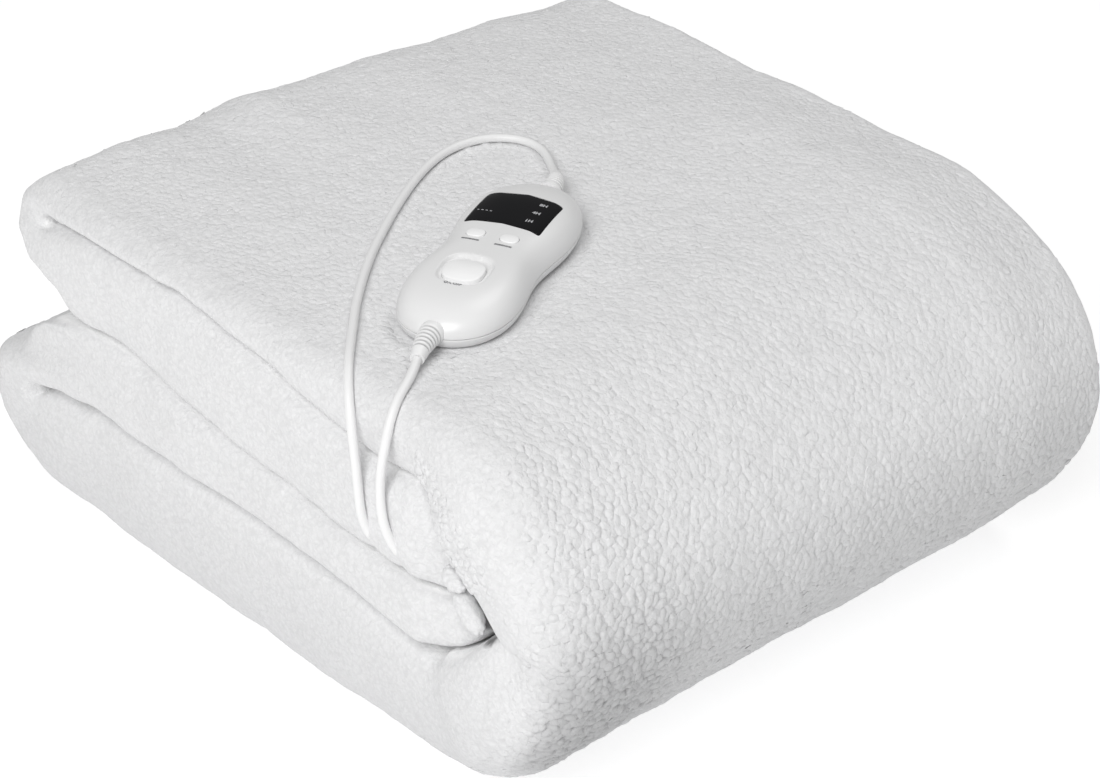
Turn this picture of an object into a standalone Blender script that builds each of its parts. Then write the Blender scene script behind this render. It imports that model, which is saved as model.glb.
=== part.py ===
"""Electric heated blanket, folded into a pack, with its hand controller, cords and plug.

Metres, +Z up. The part stands on z = 0. The fleece is doubled over at -X, so its free edges lie at +X.
The doubled strip's two ends are folded in from the back (+Y) to the middle, and the whole is then
closed like a book over its front turn (-Y). The controller lies on top; the coil, which holds the
length of the mains lead that isn't laid out, and the plug lie on the floor past +X.
"""
import math

import bmesh
import bpy
import numpy as np
from mathutils import Matrix, Vector

# ---- Driving dimensions -------------------------------------------------------------------------

GAP = 0.0003                 # between pieces that touch
SHARP = math.radians(40.0)   # edges that turn by more than this stay sharp

# Blanket: a strip of two plies, doubled over at -X. Its ends are folded in to the middle, the
# second and third layers, and then the whole is closed like a book over the front turn.
LOOP_X = -0.197              # the long fold's loops
EDGE_X = 0.185               # the free edges, before their rounding
FRONT_Y = -0.231             # outside of the big front turn
FRONT_TURN_DEPTH = (0.074, 0.090)   # how far a turn's middle line bulges past its runs
LOW_BACK_Y = 0.2317          # outside of the lower packet's closed back
LOW_TURN_DEPTH = 0.030
HIGH_BACK_Y = 0.200          # outside of the upper packet's closed back
HIGH_TURN_DEPTH = 0.026
HEM_Y = (-0.157, -0.163)     # hems of the third and of the second layer, inside the front turn
HEM_ROUND = 0.009            # length over which a hem is rounded
HEM_THIN = 0.45              # share of the ply's thickness left at its very end
LAYER_GAP = 0.0012           # between the layers of the strip
PLY = 0.0225                 # thickness of one ply, pile and all
PLY_GAP = 0.0014             # least room between the two plies
EDGE_ROUND = 0.40            # rounding of a free edge, as a share of the ply
EDGE_WAVE = 0.003            # how unevenly the free edges lie on each other

# Thickness of the doubled strip in each run, at the loops and at the free edges, and how far its
# loops lie in from LOOP_X.
#         layer     loops  edges   inset
LAYERS = (("bottom", 0.066, 0.0495, 0.004),
          ("second", 0.042, 0.0480, 0.001),
          ("third",  0.052, 0.0480, 0.000),
          ("top",    0.034, 0.0500, 0.003))
TURN_THICK = {"front": (0.051, 0.050), "low": (0.050, 0.046), "high": (0.030, 0.044)}

# Room between the second and third layers where the cords go in: from their hems back to the
# first y it is whole, and it is gone at the last.
CORD_ROOM = 0.0033           # taken from each of the two layers
CORD_ROOM_Y = (-0.066, -0.030)

# The pack's slump.
SWELL = 0.019                # what the second layer gains at the back of the loop side
SWELL_TOP = 0.006            # what is left of that at the very top
SWELL_Y = (-0.120, 0.160)
SWELL_X = (-0.120, 0.200)
LEAN = 0.034                 # how far the upper packet's back lies in at its underside
DROOP = 0.060                # how much lower the free edges lie, as a share of the height
DROOP_X = (0.120, 0.200)
DROOP_Y = (-0.100, 0.120)    # over this the droop fades towards the back, and the back rises
BACK_RISE = 0.030            # by this share of the height

# Samples across a run of the hairpin outline and along each stretch of the strip.
RUN_COLUMNS = 8
LOOP_COLUMNS = 8
INNER_LOOP_COLUMNS = 4
EDGE_COLUMNS = 4
STRETCH_ROWS = (8, 9, 10, 14, 9, 9, 8)
HEM_ROWS = (0.3, 1.0)        # places of extra rows near a hem, as shares of HEM_ROUND

# Controller: its frame has its origin under its middle, u towards its head, v to its left, w up.
CONTROLLER_PLACE = (-0.0798, -0.0616, 0.2008)
CONTROLLER_HEADING = math.radians(26.5)
CONTROLLER_TILT = math.radians(1.3)
CONTROLLER_ROLL = math.radians(0.6)
CONTROLLER_HALF = 0.0742     # half its length
CONTROLLER_WIDE = 0.0300     # half width before the waist is taken in
WAIST_U = -0.0052
WAIST_SHARE = 0.158
WAIST_REACH = 0.0246
HEAD_ROUND = 3.8             # powers of the two round ends
TAIL_ROUND = 4.7
PART_W = 0.0058              # height of the parting line
BASE_RINGS = ((0.0, 0.0), (0.45, 0.0010), (0.80, 0.0028))    # (share of the inset won, height)
BASE_INSET = 0.0035          # how much narrower the flat bottom is
COVER_RISE = (0.0156, 0.0149)   # crown of the cover over the parting line, at tail and head
CROWN_POWERS = (4.8, 0.5)
OUTLINE_POINTS = 48
CROWN_RINGS = 8

# Inlays of the cover: middle (u, v), half sizes, power of their round outline, height of their
# edge over the cover, extra height in their middle, depth of their underside, depth of the pocket.
#              u        v        half u   half v   power edge     crown    under    pocket
INLAYS = {
    "display_window": (0.0280, 0.0, 0.0164, 0.0193, 9.0, 0.00015, 0.0, 0.0014, 0.0017),
    "button_left": (-0.0001, 0.0086, 0.0037, 0.0045, 2.4, 0.0006, 0.0004, 0.0014, 0.0026),
    "button_right": (-0.0001, -0.0086, 0.0037, 0.0045, 2.4, 0.0006, 0.0004, 0.0014, 0.0026),
    "power_button": (-0.0352, 0.0, 0.0089, 0.0097, 2.7, 0.0002, 0.0010, 0.0030, 0.0046),
}
INLAY_SIDES = 32
INLAY_FOOT = 0.45            # an underside's inner ring, as a share of its outline
INLAY_TOP = (0.93, 0.70, 0.35)   # and the rings of its top
INLAY_EDGE = 0.25            # share of its height over which its upper edge is rounded
WINDOW_BOW = 0.0034          # how far the window's two long sides bow towards the head
DISH_MIDDLE = (-0.0334, 0.0) # dished recess round the power button
DISH_HALF = (0.0134, 0.0129)
DISH_POWER = 3.0
DISH_DEPTH = 0.0013
DISH_SIDES = 36
DISH_SINKS = 0.3             # share of the dish's depth by which the power button's side is lower
CUTTER_TOP = 0.006           # how far a pocket's cutter stands out of the cover
SOCKET_LENGTH = 0.012        # length of the cutter for a relief's socket

# Cords and their fittings.
CORD = 0.0045                # diameter
CORD_STEP = 3.2 * CORD       # spacing of the points along a tube
RELIEF_SINK = 0.0022         # how far a relief's root goes into its housing
RELIEF_LENGTH = 0.0205       # what shows of it
RELIEF_ROOT = 0.0046         # radii
RELIEF_TIP = 0.0029
RELIEF_RIBS = 5
RIBBED_SHARE = 0.72          # of its length
RIB_COLLAR = 0.0012          # plain length before the first groove
RIB_DEPTH = 0.0007
RIB_GROOVE = (0.12, 0.48, 0.60, 1.00)    # a groove's two lower and two upper edges in its pitch
RELIEF_W = 0.0080            # height of its axis in the controller
RELIEF_SIDES = 14
HEAD_RELIEF_TURN = math.radians(30.0)    # how far each relief bends along its length
TAIL_RELIEF_TURN = math.radians(14.0)
HEAD_RELIEF_DROP = math.radians(24.0)    # how far that bend leans downwards
TAIL_RELIEF_DROP = math.radians(40.0)

# Cord routes, chosen by hand: the lead from the controller's head to its gland in the fold, and
# the mains lead from the controller's tail through the fold to the coil behind.
LEAD_ROUTE = (
    (0.0215, 0.0150, 0.2058), (0.0228, 0.0250, 0.2063), (0.0185, 0.0348, 0.2067),
    (0.0100, 0.0428, 0.2069), (-0.0005, 0.0468, 0.2068), (-0.0130, 0.0473, 0.2066),
    (-0.0250, 0.0448, 0.2062), (-0.0420, 0.0375, 0.2055), (-0.0632, 0.0252, 0.2048),
    (-0.0893, 0.0075, 0.2037), (-0.1174, -0.0140, 0.2029), (-0.1456, -0.0398, 0.2019),
    (-0.1650, -0.0605, 0.2014), (-0.1796, -0.0763, 0.2010), (-0.1889, -0.0870, 0.1979),
    (-0.1950, -0.0950, 0.1905), (-0.1987, -0.1005, 0.1820), (-0.2001, -0.1040, 0.1720),
    (-0.2004, -0.1058, 0.1610), (-0.2004, -0.1064, 0.1520), (-0.2004, -0.1070, 0.1430),
    (-0.1991, -0.1075, 0.1330), (-0.1928, -0.1075, 0.1205), (-0.1800, -0.1050, 0.1125))
MAINS_ROUTE = (
    (-0.1858, -0.1182, 0.1998), (-0.1920, -0.1220, 0.1954), (-0.1964, -0.1238, 0.1886),
    (-0.1990, -0.1243, 0.1800), (-0.2002, -0.1237, 0.1725), (-0.2004, -0.1226, 0.1650),
    (-0.2004, -0.1220, 0.1565), (-0.2004, -0.1224, 0.1480), (-0.2003, -0.1236, 0.1400),
    (-0.1985, -0.1262, 0.1320), (-0.1925, -0.1285, 0.1205), (-0.1820, -0.1298, 0.1130),
    (-0.1680, -0.1305, 0.1102), (-0.1300, -0.1305, 0.1080), (-0.0800, -0.1305, 0.1050),
    (-0.0300, -0.1305, 0.1018), (0.0300, -0.1305, 0.0995), (0.0900, -0.1305, 0.0993),
    (0.1400, -0.1300, 0.0980), (0.1800, -0.1280, 0.0940), (0.2050, -0.1260, 0.0880),
    (0.2215, -0.1230, 0.0760), (0.2310, -0.1190, 0.0590), (0.2360, -0.1130, 0.0400),
    (0.2410, -0.1040, 0.0220), (0.2490, -0.0910, 0.0095), (0.2570, -0.0740, 0.0048))

# Coil of the length that isn't laid out, wound counter-clockwise from its bottom turn up.
COIL_PLACE = (0.2450, -0.0200)
COIL_MIDDLE = 0.0265         # mid-turn radius
COIL_ACROSS = 2              # turns side by side
COIL_UP = 4                  # turns on each other
COIL_LIFT = 0.0021           # the tie passes under it
COIL_SIDES = 40
COIL_IN = math.radians(-18.0)    # where the lead meets its outer turn
COIL_OUT = math.radians(20.0)    # and where the plug's tail leaves it
TIE_ANGLE = math.radians(205.0)
TIE_WIDTH = 0.0080
TIE_THICK = 0.0011
TIE_CLEAR = 0.0007           # round the coil's section, which curves inside it
TAIL_ROUTE = ((0.2545, 0.0300, 0.0130), (0.2540, 0.0400, 0.0085))
PLUG_PLACE = (0.2540, 0.0960, 0.0074)    # where the plug's relief meets its body
PLUG_HEADING = math.radians(91.0)
PLUG_RELIEF = 0.0230
PLUG_LENGTH = 0.0350
PLUG_TAIL = (0.0085, 0.0062) # half width and half thickness at the relief
PLUG_FACE = (0.0172, 0.0068) # and at the pins
PLUG_WIDENS = 0.62           # share of its length over which it gets wider
PLUG_POWER = 3.2             # squareness of its section
PLUG_SIDES = 28
PLUG_SECTIONS = ((0.0, 0.90), (0.05, 1.0), (0.35, 1.0), (0.62, 1.0), (0.96, 1.0), (1.0, 0.93))
PIN_APART = 0.0186
PIN_RADIUS = 0.0020
PIN_LENGTH = 0.0190
PIN_TAPER = 0.88
PIN_SIDES = 12
GLAND_X = (-0.1590, -0.1300)
GLAND_YZ = ((-0.0995, 0.1093), (-0.0975, 0.1086))
GLAND_RADIUS = (0.0029, 0.0033)


# ---- Helpers ------------------------------------------------------------------------------------

def clear_scene():
    for thing in list(bpy.data.objects):
        bpy.data.objects.remove(thing, do_unlink=True)


def plastic(name, colour, roughness, metallic=0.0):
    """A Principled material of one colour."""
    material = bpy.data.materials.new(name)
    material.use_nodes = True
    shader = material.node_tree.nodes["Principled BSDF"]
    shader.inputs["Base Color"].default_value = (*colour, 1.0)
    shader.inputs["Roughness"].default_value = roughness
    shader.inputs["Metallic"].default_value = metallic
    material.diffuse_color = (*colour, 1.0)
    return material


def add_object(name, shape, material):
    thing = bpy.data.objects.new(name, shape)
    shape.materials.append(material)
    bpy.context.scene.collection.objects.link(thing)
    return thing


def smooth(t):
    """0 to 1 with level ends."""
    t = np.clip(t, 0.0, 1.0)
    return t * t * (3.0 - 2.0 * t)


def blend(a, b, t):
    return a + (b - a) * t


def ring_solid(name, rings, sharp=SHARP):
    """A closed solid from rings of equal length, each (x, y, z) arrays, with its ends filled."""
    points = np.stack([np.stack(ring, axis=-1) for ring in rings])
    count, around = points.shape[:2]
    faces = [tuple(reversed(range(around))), tuple(range((count - 1) * around, count * around))]
    for row in range(count - 1):
        for k in range(around):
            after = (k + 1) % around
            faces.append((row * around + k, row * around + after,
                          (row + 1) * around + after, (row + 1) * around + k))
    return closed_mesh(name, points.reshape(-1, 3).tolist(), faces, sharp)


def closed_mesh(name, vertices, faces, sharp=SHARP):
    """A mesh of triangles with its faces outwards, shaded smooth up to the sharp angle."""
    mesh = bpy.data.meshes.new(name)
    mesh.from_pydata(vertices, [], faces)
    body = bmesh.new()
    body.from_mesh(mesh)
    bmesh.ops.triangulate(body, faces=body.faces[:], quad_method="BEAUTY", ngon_method="BEAUTY")
    bmesh.ops.recalc_face_normals(body, faces=body.faces[:])
    body.to_mesh(mesh)
    body.free()
    mesh.shade_smooth()
    mesh.set_sharp_from_angle(angle=sharp)
    return mesh


def cone_mesh(name, start, end, radius_start, radius_end, sides):
    """A straight round rod between two places, tapered if its two radii differ."""
    body = bmesh.new()
    bmesh.ops.create_cone(body, cap_ends=True, segments=sides, depth=(end - start).length,
                          radius1=radius_start, radius2=radius_end)
    turned = (end - start).to_track_quat("Z", "Y").to_matrix().to_4x4()
    bmesh.ops.transform(body, matrix=Matrix.Translation((start + end) / 2.0) @ turned,
                        verts=body.verts[:])
    mesh = bpy.data.meshes.new(name)
    body.to_mesh(mesh)
    body.free()
    mesh.shade_smooth()
    mesh.set_sharp_from_angle(angle=SHARP)
    return mesh


# ---- Blanket ------------------------------------------------------------------------------------

def across(x):
    """0 at the loops, 1 at the free edges; the change is done by the middle."""
    return smooth((x - LOOP_X) / (0.62 * (EDGE_X - LOOP_X)))


def layer_thick(row, x):
    return blend(LAYERS[row][1], LAYERS[row][2], across(x))


def turn_thick(name, x):
    return blend(*TURN_THICK[name], across(x))


def layer_height(row, x):
    """Height of the middle of one run of the strip."""
    below = sum(layer_thick(k, x) + LAYER_GAP for k in range(row))
    return below + 0.5 * layer_thick(row, x)


def turn(t, start_y, depth, from_z, to_z):
    """Half an ellipse that leaves start_y by depth and climbs or falls between two heights."""
    y = start_y + depth * np.sin(math.pi * t)
    z = 0.5 * (from_z + to_z) + 0.5 * (from_z - to_z) * np.cos(math.pi * t)
    return y, z


def strip_middle(q, x):
    """Middle line of the doubled strip at path place q, 0 to 7, and width place x.

    0-1 third layer from its hem to the back, 1-2 upper back turn, 2-3 top layer to the front,
    3-4 front turn, 4-5 bottom layer to the back, 5-6 lower back turn, 6-7 second layer to its hem.
    """
    bottom, second, third, top = (layer_height(row, x) for row in range(4))
    depth = blend(*FRONT_TURN_DEPTH, across(x))
    front = FRONT_Y + 0.5 * turn_thick("front", x) + depth
    low = LOW_BACK_Y - 0.5 * turn_thick("low", x) - LOW_TURN_DEPTH
    high = HIGH_BACK_Y - 0.5 * turn_thick("high", x) - HIGH_TURN_DEPTH
    ones = np.ones_like(q * x)
    stretches = (
        (blend(HEM_Y[0], high, q), third),
        turn(q - 1.0, high, HIGH_TURN_DEPTH, third, top),
        (blend(high, front, q - 2.0), top),
        turn(q - 3.0, front, -depth, top, bottom),
        (blend(front, low, q - 4.0), bottom),
        turn(q - 5.0, low, LOW_TURN_DEPTH, bottom, second),
        (blend(low, HEM_Y[1], q - 6.0), second),
    )
    within = [q * ones < k + 1.0 for k in range(7)]
    within[6] = ones > 0.0
    y = np.select(within, [stretch[0] * ones for stretch in stretches])
    z = np.select(within, [stretch[1] * ones for stretch in stretches])
    return y, z


def along_strip(q, x, keys):
    """A value that changes smoothly from key to key (path place, value) along the strip."""
    value = keys[0][1] * np.ones_like(q * x)
    for (q_0, _), (q_1, target) in zip(keys, keys[1:]):
        step = smooth((q - q_0) / (q_1 - q_0))
        value = np.where(q >= q_0, blend(value, target, step), value)
    return value


def strip_thick(q, x):
    """Thickness of the doubled strip, from run to turn to run."""
    bottom, second, third, top = (layer_thick(row, x) for row in range(4))
    front, low, high = (turn_thick(name, x) for name in ("front", "low", "high"))
    keys = ((0.0, third), (0.9, third), (1.5, high), (2.1, top), (2.75, top), (3.5, front),
            (4.15, bottom), (4.9, bottom), (5.5, low), (6.05, second), (7.0, second))
    return along_strip(q, x, keys)


def loop_place(q):
    """Where the outside of the long fold's loop lies."""
    bottom, second, third, top = (LOOP_X + row[3] for row in LAYERS)
    keys = ((0.0, third), (1.0, third), (2.0, top), (3.0, top), (4.0, bottom), (5.0, bottom),
            (6.0, second), (7.0, second))
    return along_strip(q, q, keys)


def cord_room(q, y):
    """What the second and third layers give up on the side that faces the other."""
    near = 1.0 - smooth((y - CORD_ROOM_Y[0]) / (CORD_ROOM_Y[1] - CORD_ROOM_Y[0]))
    return CORD_ROOM * near * ((q < 1.0) | (q > 6.0))


def hem_fullness(q, y):
    """1 along the strip, falling to HEM_THIN in a quarter circle at its two hems."""
    hem = np.where(q < 1.0, HEM_Y[0], HEM_Y[1])
    inward = np.clip((y - hem) / HEM_ROUND, 0.0, 1.0)
    round_end = np.sqrt(1.0 - (1.0 - inward) ** 2)
    return np.where((q < 1.0) | (q > 6.0), blend(HEM_THIN, 1.0, round_end), 1.0)


def strip_rows():
    """Path places of the sections, closer together at the hems."""
    rows = []
    for stretch, count in enumerate(STRETCH_ROWS):
        rows.extend(stretch + np.arange(count) / count)
    run = HIGH_BACK_Y - HEM_Y[0]
    near_hem = [share * HEM_ROUND / run for share in HEM_ROWS]
    rows.extend(near_hem)
    rows.extend(7.0 - place for place in near_hem)
    return np.array(sorted(rows) + [7.0])[:, None]


def build_blanket(material):
    """The hairpin outline of two plies, carried along the strip's back-and-forth path."""
    q = strip_rows()
    across_run = np.linspace(0.0, 1.0, RUN_COLUMNS + 1)
    loop_angle = np.linspace(0.0, math.pi, LOOP_COLUMNS + 1)[1:-1]
    inner_angle = np.linspace(0.0, math.pi, INNER_LOOP_COLUMNS + 1)[1:-1]
    edge_angle = np.linspace(0.0, math.pi, EDGE_COLUMNS + 1)[1:-1]
    loop_x = loop_place(q)

    def side(x):
        """Distance from the middle line to the outer and inner face of a ply, and the offset of
        the doubled strip's own middle, at x in every row."""
        y_here, _ = strip_middle(q, x)
        room = cord_room(q, y_here)
        half = 0.5 * (strip_thick(q, x) - room)
        ply = np.minimum(PLY, half - 0.5 * PLY_GAP)
        thin = 0.5 * ply * (1.0 - hem_fullness(q, y_here))
        return half - thin, half - ply + thin, 0.5 * room

    outer_reach, inner_reach, loop_middle = side(loop_x)
    run_start = loop_x + 0.5 * strip_thick(q, loop_x)
    upper_edge = EDGE_X + EDGE_WAVE * np.sin(1.7 * q)
    lower_edge = EDGE_X + EDGE_WAVE * np.sin(2.3 * q + 1.0)

    def run(x_end, sign, inner, outward):
        steps = across_run if outward else across_run[::-1]
        x = blend(run_start, x_end, steps[None, :])
        outer_face, inner_face, middle = side(x)
        return x, middle + sign * (inner_face if inner else outer_face)

    def edge(x_end, sign, outward):
        """Round end of one ply, between its outer and its inner face."""
        angle = edge_angle[None, :] if outward else edge_angle[None, ::-1]
        outer_face, inner_face, middle = side(np.broadcast_to(x_end, q.shape))
        ply = outer_face - inner_face
        x = x_end + EDGE_ROUND * ply * np.sin(angle)
        return x, middle + sign * (inner_face + 0.5 * ply * (1.0 + np.cos(angle)))

    def loop(inner):
        angle = (inner_angle if inner else loop_angle[::-1])[None, :]
        reach = inner_reach if inner else outer_reach
        return run_start - reach * np.sin(angle), loop_middle + reach * np.cos(angle)

    pieces = (run(upper_edge, 1.0, False, True), edge(upper_edge, 1.0, True),
              run(upper_edge, 1.0, True, False), loop(True),
              run(lower_edge, -1.0, True, True), edge(lower_edge, -1.0, False),
              run(lower_edge, -1.0, False, False), loop(False))
    x = np.concatenate([piece[0] for piece in pieces], axis=1)
    n = np.concatenate([piece[1] for piece in pieces], axis=1)

    y, z = strip_middle(q, x)
    step = 0.004
    y_ahead, z_ahead = strip_middle(np.minimum(q + step, 7.0), x)
    y_behind, z_behind = strip_middle(np.maximum(q - step, 0.0), x)
    length = np.hypot(y_ahead - y_behind, z_ahead - z_behind)
    y = y - n * (z_ahead - z_behind) / length
    z = z + n * (y_ahead - y_behind) / length
    add_object("blanket", ring_solid("blanket", zip(*settle(x, y, z)), math.pi), material)


def ramp(value, start, end):
    return smooth((value - start) / (end - start))


def settle(x, y, z):
    """The pack's slump as one smooth warp, which keeps its layers apart and its base flat.

    Towards the back of the loop side the second layer swells and the top one thins. The upper
    packet's back leans out over the lower one's, and the free edges droop a little.
    """
    back = ramp(y, SWELL_Y[0], SWELL_Y[1])
    low_end = 1.0 - 0.75 * ramp(y, 0.150, 0.225) * (1.0 - ramp(z, 0.105, 0.116))
    swell = ramp(z, 0.068, 0.108) * SWELL + ramp(z, 0.158, 0.195) * (SWELL_TOP - SWELL)
    swell = swell * back * low_end * (1.0 - ramp(x, SWELL_X[0], SWELL_X[1]))
    under = ramp(z, 0.100, 0.112) * (1.0 - ramp(z, 0.115, 0.185))
    lean = LEAN * under * ramp(y, 0.080, 0.180) * (1.0 - ramp(x, -0.10, 0.12))
    rear = ramp(y, DROOP_Y[0], DROOP_Y[1])
    droop = DROOP * ramp(x, DROOP_X[0], DROOP_X[1])
    z_new = (z + swell) * (1.0 - droop * (1.0 - rear) + BACK_RISE * rear * ramp(x, -0.10, 0.10))
    y_new = (y - lean) * (1.0 - 0.5 * droop)
    return x, y_new, np.where(z < 0.0004, 0.0, z_new)


# ---- Controller ---------------------------------------------------------------------------------

def half_width(u):
    """Half width of the waisted outline at u."""
    share = np.clip(np.abs(u) / CONTROLLER_HALF, 0.0, 1.0)
    power = np.where(u > 0.0, HEAD_ROUND, TAIL_ROUND)
    waist = WAIST_SHARE * np.exp(-((u - WAIST_U) / WAIST_REACH) ** 2)
    return CONTROLLER_WIDE * np.sqrt(1.0 - share ** power) * (1.0 - waist)


def controller_outline():
    """Points of the outline, counter-clockwise from the head, closer together at the ends."""
    half = OUTLINE_POINTS // 2
    u = CONTROLLER_HALF * np.cos(np.linspace(0.0, math.pi, half + 1))
    v = half_width(u)
    return np.concatenate([u, u[-2:0:-1]]), np.concatenate([v, -v[-2:0:-1]])


def crown(u, v):
    """Height of the cover's surface over (u, v)."""
    outline_u, outline_v = controller_outline()
    angles = np.arctan2(outline_v, outline_u) % (2.0 * math.pi)
    order = np.argsort(angles)
    reach = np.hypot(outline_u, outline_v)[order]
    limit = np.interp(np.arctan2(v, u) % (2.0 * math.pi), angles[order], reach,
                      period=2.0 * math.pi)
    share = np.clip(np.hypot(u, v) / limit, 0.0, 1.0)
    rise = blend(*COVER_RISE, 0.5 + 0.5 * u / CONTROLLER_HALF)
    return PART_W + rise * (1.0 - share ** CROWN_POWERS[0]) ** CROWN_POWERS[1]


def controller_frame():
    """An empty at the controller's place, which its pieces are parented to."""
    empty = bpy.data.objects.new("controller", None)
    bpy.context.scene.collection.objects.link(empty)
    turn_matrix = (Matrix.Rotation(CONTROLLER_HEADING, 4, "Z")
                   @ Matrix.Rotation(-CONTROLLER_TILT, 4, "Y")
                   @ Matrix.Rotation(CONTROLLER_ROLL, 4, "X"))
    empty.matrix_world = Matrix.Translation(CONTROLLER_PLACE) @ turn_matrix
    return empty


def build_base(frame, material):
    """Lower shell: a flat bottom with a round edge up to the parting line."""
    u, v = controller_outline()
    rings = []
    for share, w in (*BASE_RINGS, (1.0, PART_W - GAP)):
        inset = BASE_INSET * (1.0 - share)
        scale_u = 1.0 - inset / CONTROLLER_HALF
        scale_v = 1.0 - inset / CONTROLLER_WIDE
        rings.append((u * scale_u, v * scale_v, np.full_like(u, w)))
    base = add_object("controller_base", ring_solid("controller_base", rings), material)
    base.parent = frame
    return base


def super_round(angle, half_u, half_v, power):
    """A superellipse: an oval whose corners square up as the power grows."""
    cosine, sine = np.cos(angle), np.sin(angle)
    u = half_u * np.sign(cosine) * np.abs(cosine) ** (2.0 / power)
    v = half_v * np.sign(sine) * np.abs(sine) ** (2.0 / power)
    return u, v


def round_angles(sides):
    return np.linspace(0.0, 2.0 * math.pi, sides + 1)[:-1]


def build_cover(frame, material):
    """Upper shell: a crowned dome over the parting line."""
    u, v = controller_outline()
    rings = [(u, v, np.full_like(u, PART_W))]
    for k in range(1, CROWN_RINGS + 1):
        share = math.cos(0.5 * math.pi * k / (CROWN_RINGS + 0.6)) ** 0.6
        rings.append((u * share, v * share, crown(u * share, v * share)))
    cover = add_object("controller_cover", ring_solid("controller_cover", rings), material)
    cover.parent = frame
    return cover


def inlay_outline(name, grow):
    """Outline of an inlay, as offsets from its middle, grown by a clearance. The window's long
    sides are bowed towards the head."""
    half_u, half_v, power = INLAYS[name][2:5]
    u, v = super_round(round_angles(INLAY_SIDES), half_u + grow, half_v + grow, power)
    if name == "display_window":
        u = u + WINDOW_BOW * (0.5 - (v / (half_v + grow)) ** 2)
    return u, v


def over_cover(middle, u, v, edge, extra, share):
    """A ring over the cover's surface: its edge height, plus a crown that grows inwards."""
    at_u, at_v = middle[0] + u * share, middle[1] + v * share
    return u * share, v * share, crown(at_u, at_v) + edge + extra * (1.0 - share ** 2)


def inlay_mesh(name):
    """Solid of a window or button, about its own middle, flat-sided and crowned as the cover."""
    middle = INLAYS[name][0:2]
    edge, extra, under = INLAYS[name][5:8]
    u, v = inlay_outline(name, 0.0)
    level = crown(np.array(middle[0]), np.array(middle[1]))
    sunk = DISH_DEPTH if name == "power_button" else 0.0
    rings = [over_cover(middle, u, v, -under, 0.0, share) for share in (INLAY_FOOT, 1.0)]
    round_off = INLAY_EDGE * (edge + under) + DISH_SINKS * sunk
    rings.append(over_cover(middle, u, v, edge - round_off, 0.0, 1.0))
    rings.extend(over_cover(middle, u, v, edge, extra, share) for share in INLAY_TOP)
    rings = [(ring_u, ring_v, w - level) for ring_u, ring_v, w in rings]
    return ring_solid(name, rings), level


def build_inlay(name, frame, material):
    mesh, level = inlay_mesh(name)
    inlay = add_object(name, mesh, material)
    inlay.parent = frame
    inlay.location = (INLAYS[name][0], INLAYS[name][1], level)


def add_cutter(name, mesh, frame):
    cutter = bpy.data.objects.new(name, mesh)
    bpy.context.scene.collection.objects.link(cutter)
    cutter.parent = frame
    cutter.hide_render = True
    cutter.display_type = "WIRE"
    return cutter


def pocket_cutter(name, middle, u, v, depth, frame):
    """A cutter that stands out of the cover and goes down to an even depth under it."""
    rings = [over_cover(middle, u, v, -depth, 0.0, share) for share in (INLAY_FOOT, 1.0)]
    rings.append(over_cover(middle, u, v, CUTTER_TOP, 0.0, 1.0))
    rings = [(ring_u + middle[0], ring_v + middle[1], w) for ring_u, ring_v, w in rings]
    return add_cutter(name, ring_solid(name, rings), frame)


def socket_cutter(name, frame, sign):
    """A cutter for the hole in which a relief's root sits, at the head (1) or the tail (-1)."""
    bottom = sign * (CONTROLLER_HALF - RELIEF_SINK - GAP)
    ends = [Vector((u, 0.0, RELIEF_W)) for u in (bottom, bottom + sign * SOCKET_LENGTH)]
    radius = RELIEF_ROOT + GAP
    return add_cutter(name, cone_mesh(name, *ends, radius, radius, 2 * RELIEF_SIDES), frame)


def cut(target, cutter):
    boolean = target.modifiers.new("cut_" + cutter.name, "BOOLEAN")
    boolean.operation = "DIFFERENCE"
    boolean.solver = "EXACT"
    boolean.object = cutter


def build_controller(frame):
    shell = plastic("white_plastic", (0.83, 0.83, 0.83), 0.28)
    black = plastic("black_window", (0.010, 0.010, 0.011), 0.12)
    base = build_base(frame, shell)
    cover = build_cover(frame, shell)
    dish_u, dish_v = super_round(round_angles(DISH_SIDES), *DISH_HALF, DISH_POWER)
    dish = pocket_cutter("cutter_dish", DISH_MIDDLE, dish_u, dish_v, DISH_DEPTH, frame)
    cut(cover, dish)
    for name, row in INLAYS.items():
        build_inlay(name, frame, black if name == "display_window" else shell)
        u, v = inlay_outline(name, GAP)
        cut(cover, pocket_cutter("cutter_" + name, row[0:2], u, v, row[8], frame))
    for label, sign in (("head", 1.0), ("tail", -1.0)):
        socket = socket_cutter("cutter_" + label, frame, sign)
        cut(cover, socket)
        cut(base, socket)


# ---- Cords and fittings -------------------------------------------------------------------------

def smooth_route(points, spacing):
    """Points at even spacing on a smooth curve (Catmull-Rom) through the route's own points."""
    route = np.array(points)
    ends = np.vstack([2.0 * route[0] - route[1], route, 2.0 * route[-1] - route[-2]])
    t = np.linspace(0.0, 1.0, 24, endpoint=False)[:, None]
    fine = []
    for a, b, c, d in zip(ends, ends[1:], ends[2:], ends[3:]):
        fine.append(0.5 * (2.0 * b + (c - a) * t + (2.0 * a - 5.0 * b + 4.0 * c - d) * t ** 2
                           + (3.0 * b - a - 3.0 * c + d) * t ** 3))
    fine = np.vstack(fine + [route[-1:]])
    reach = np.concatenate([[0.0], np.cumsum(np.linalg.norm(np.diff(fine, axis=0), axis=1))])
    count = max(2, round(reach[-1] / spacing))
    at = np.linspace(0.0, reach[-1], count + 1)
    return np.stack([np.interp(at, reach, fine[:, k]) for k in range(3)], axis=-1)


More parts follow.
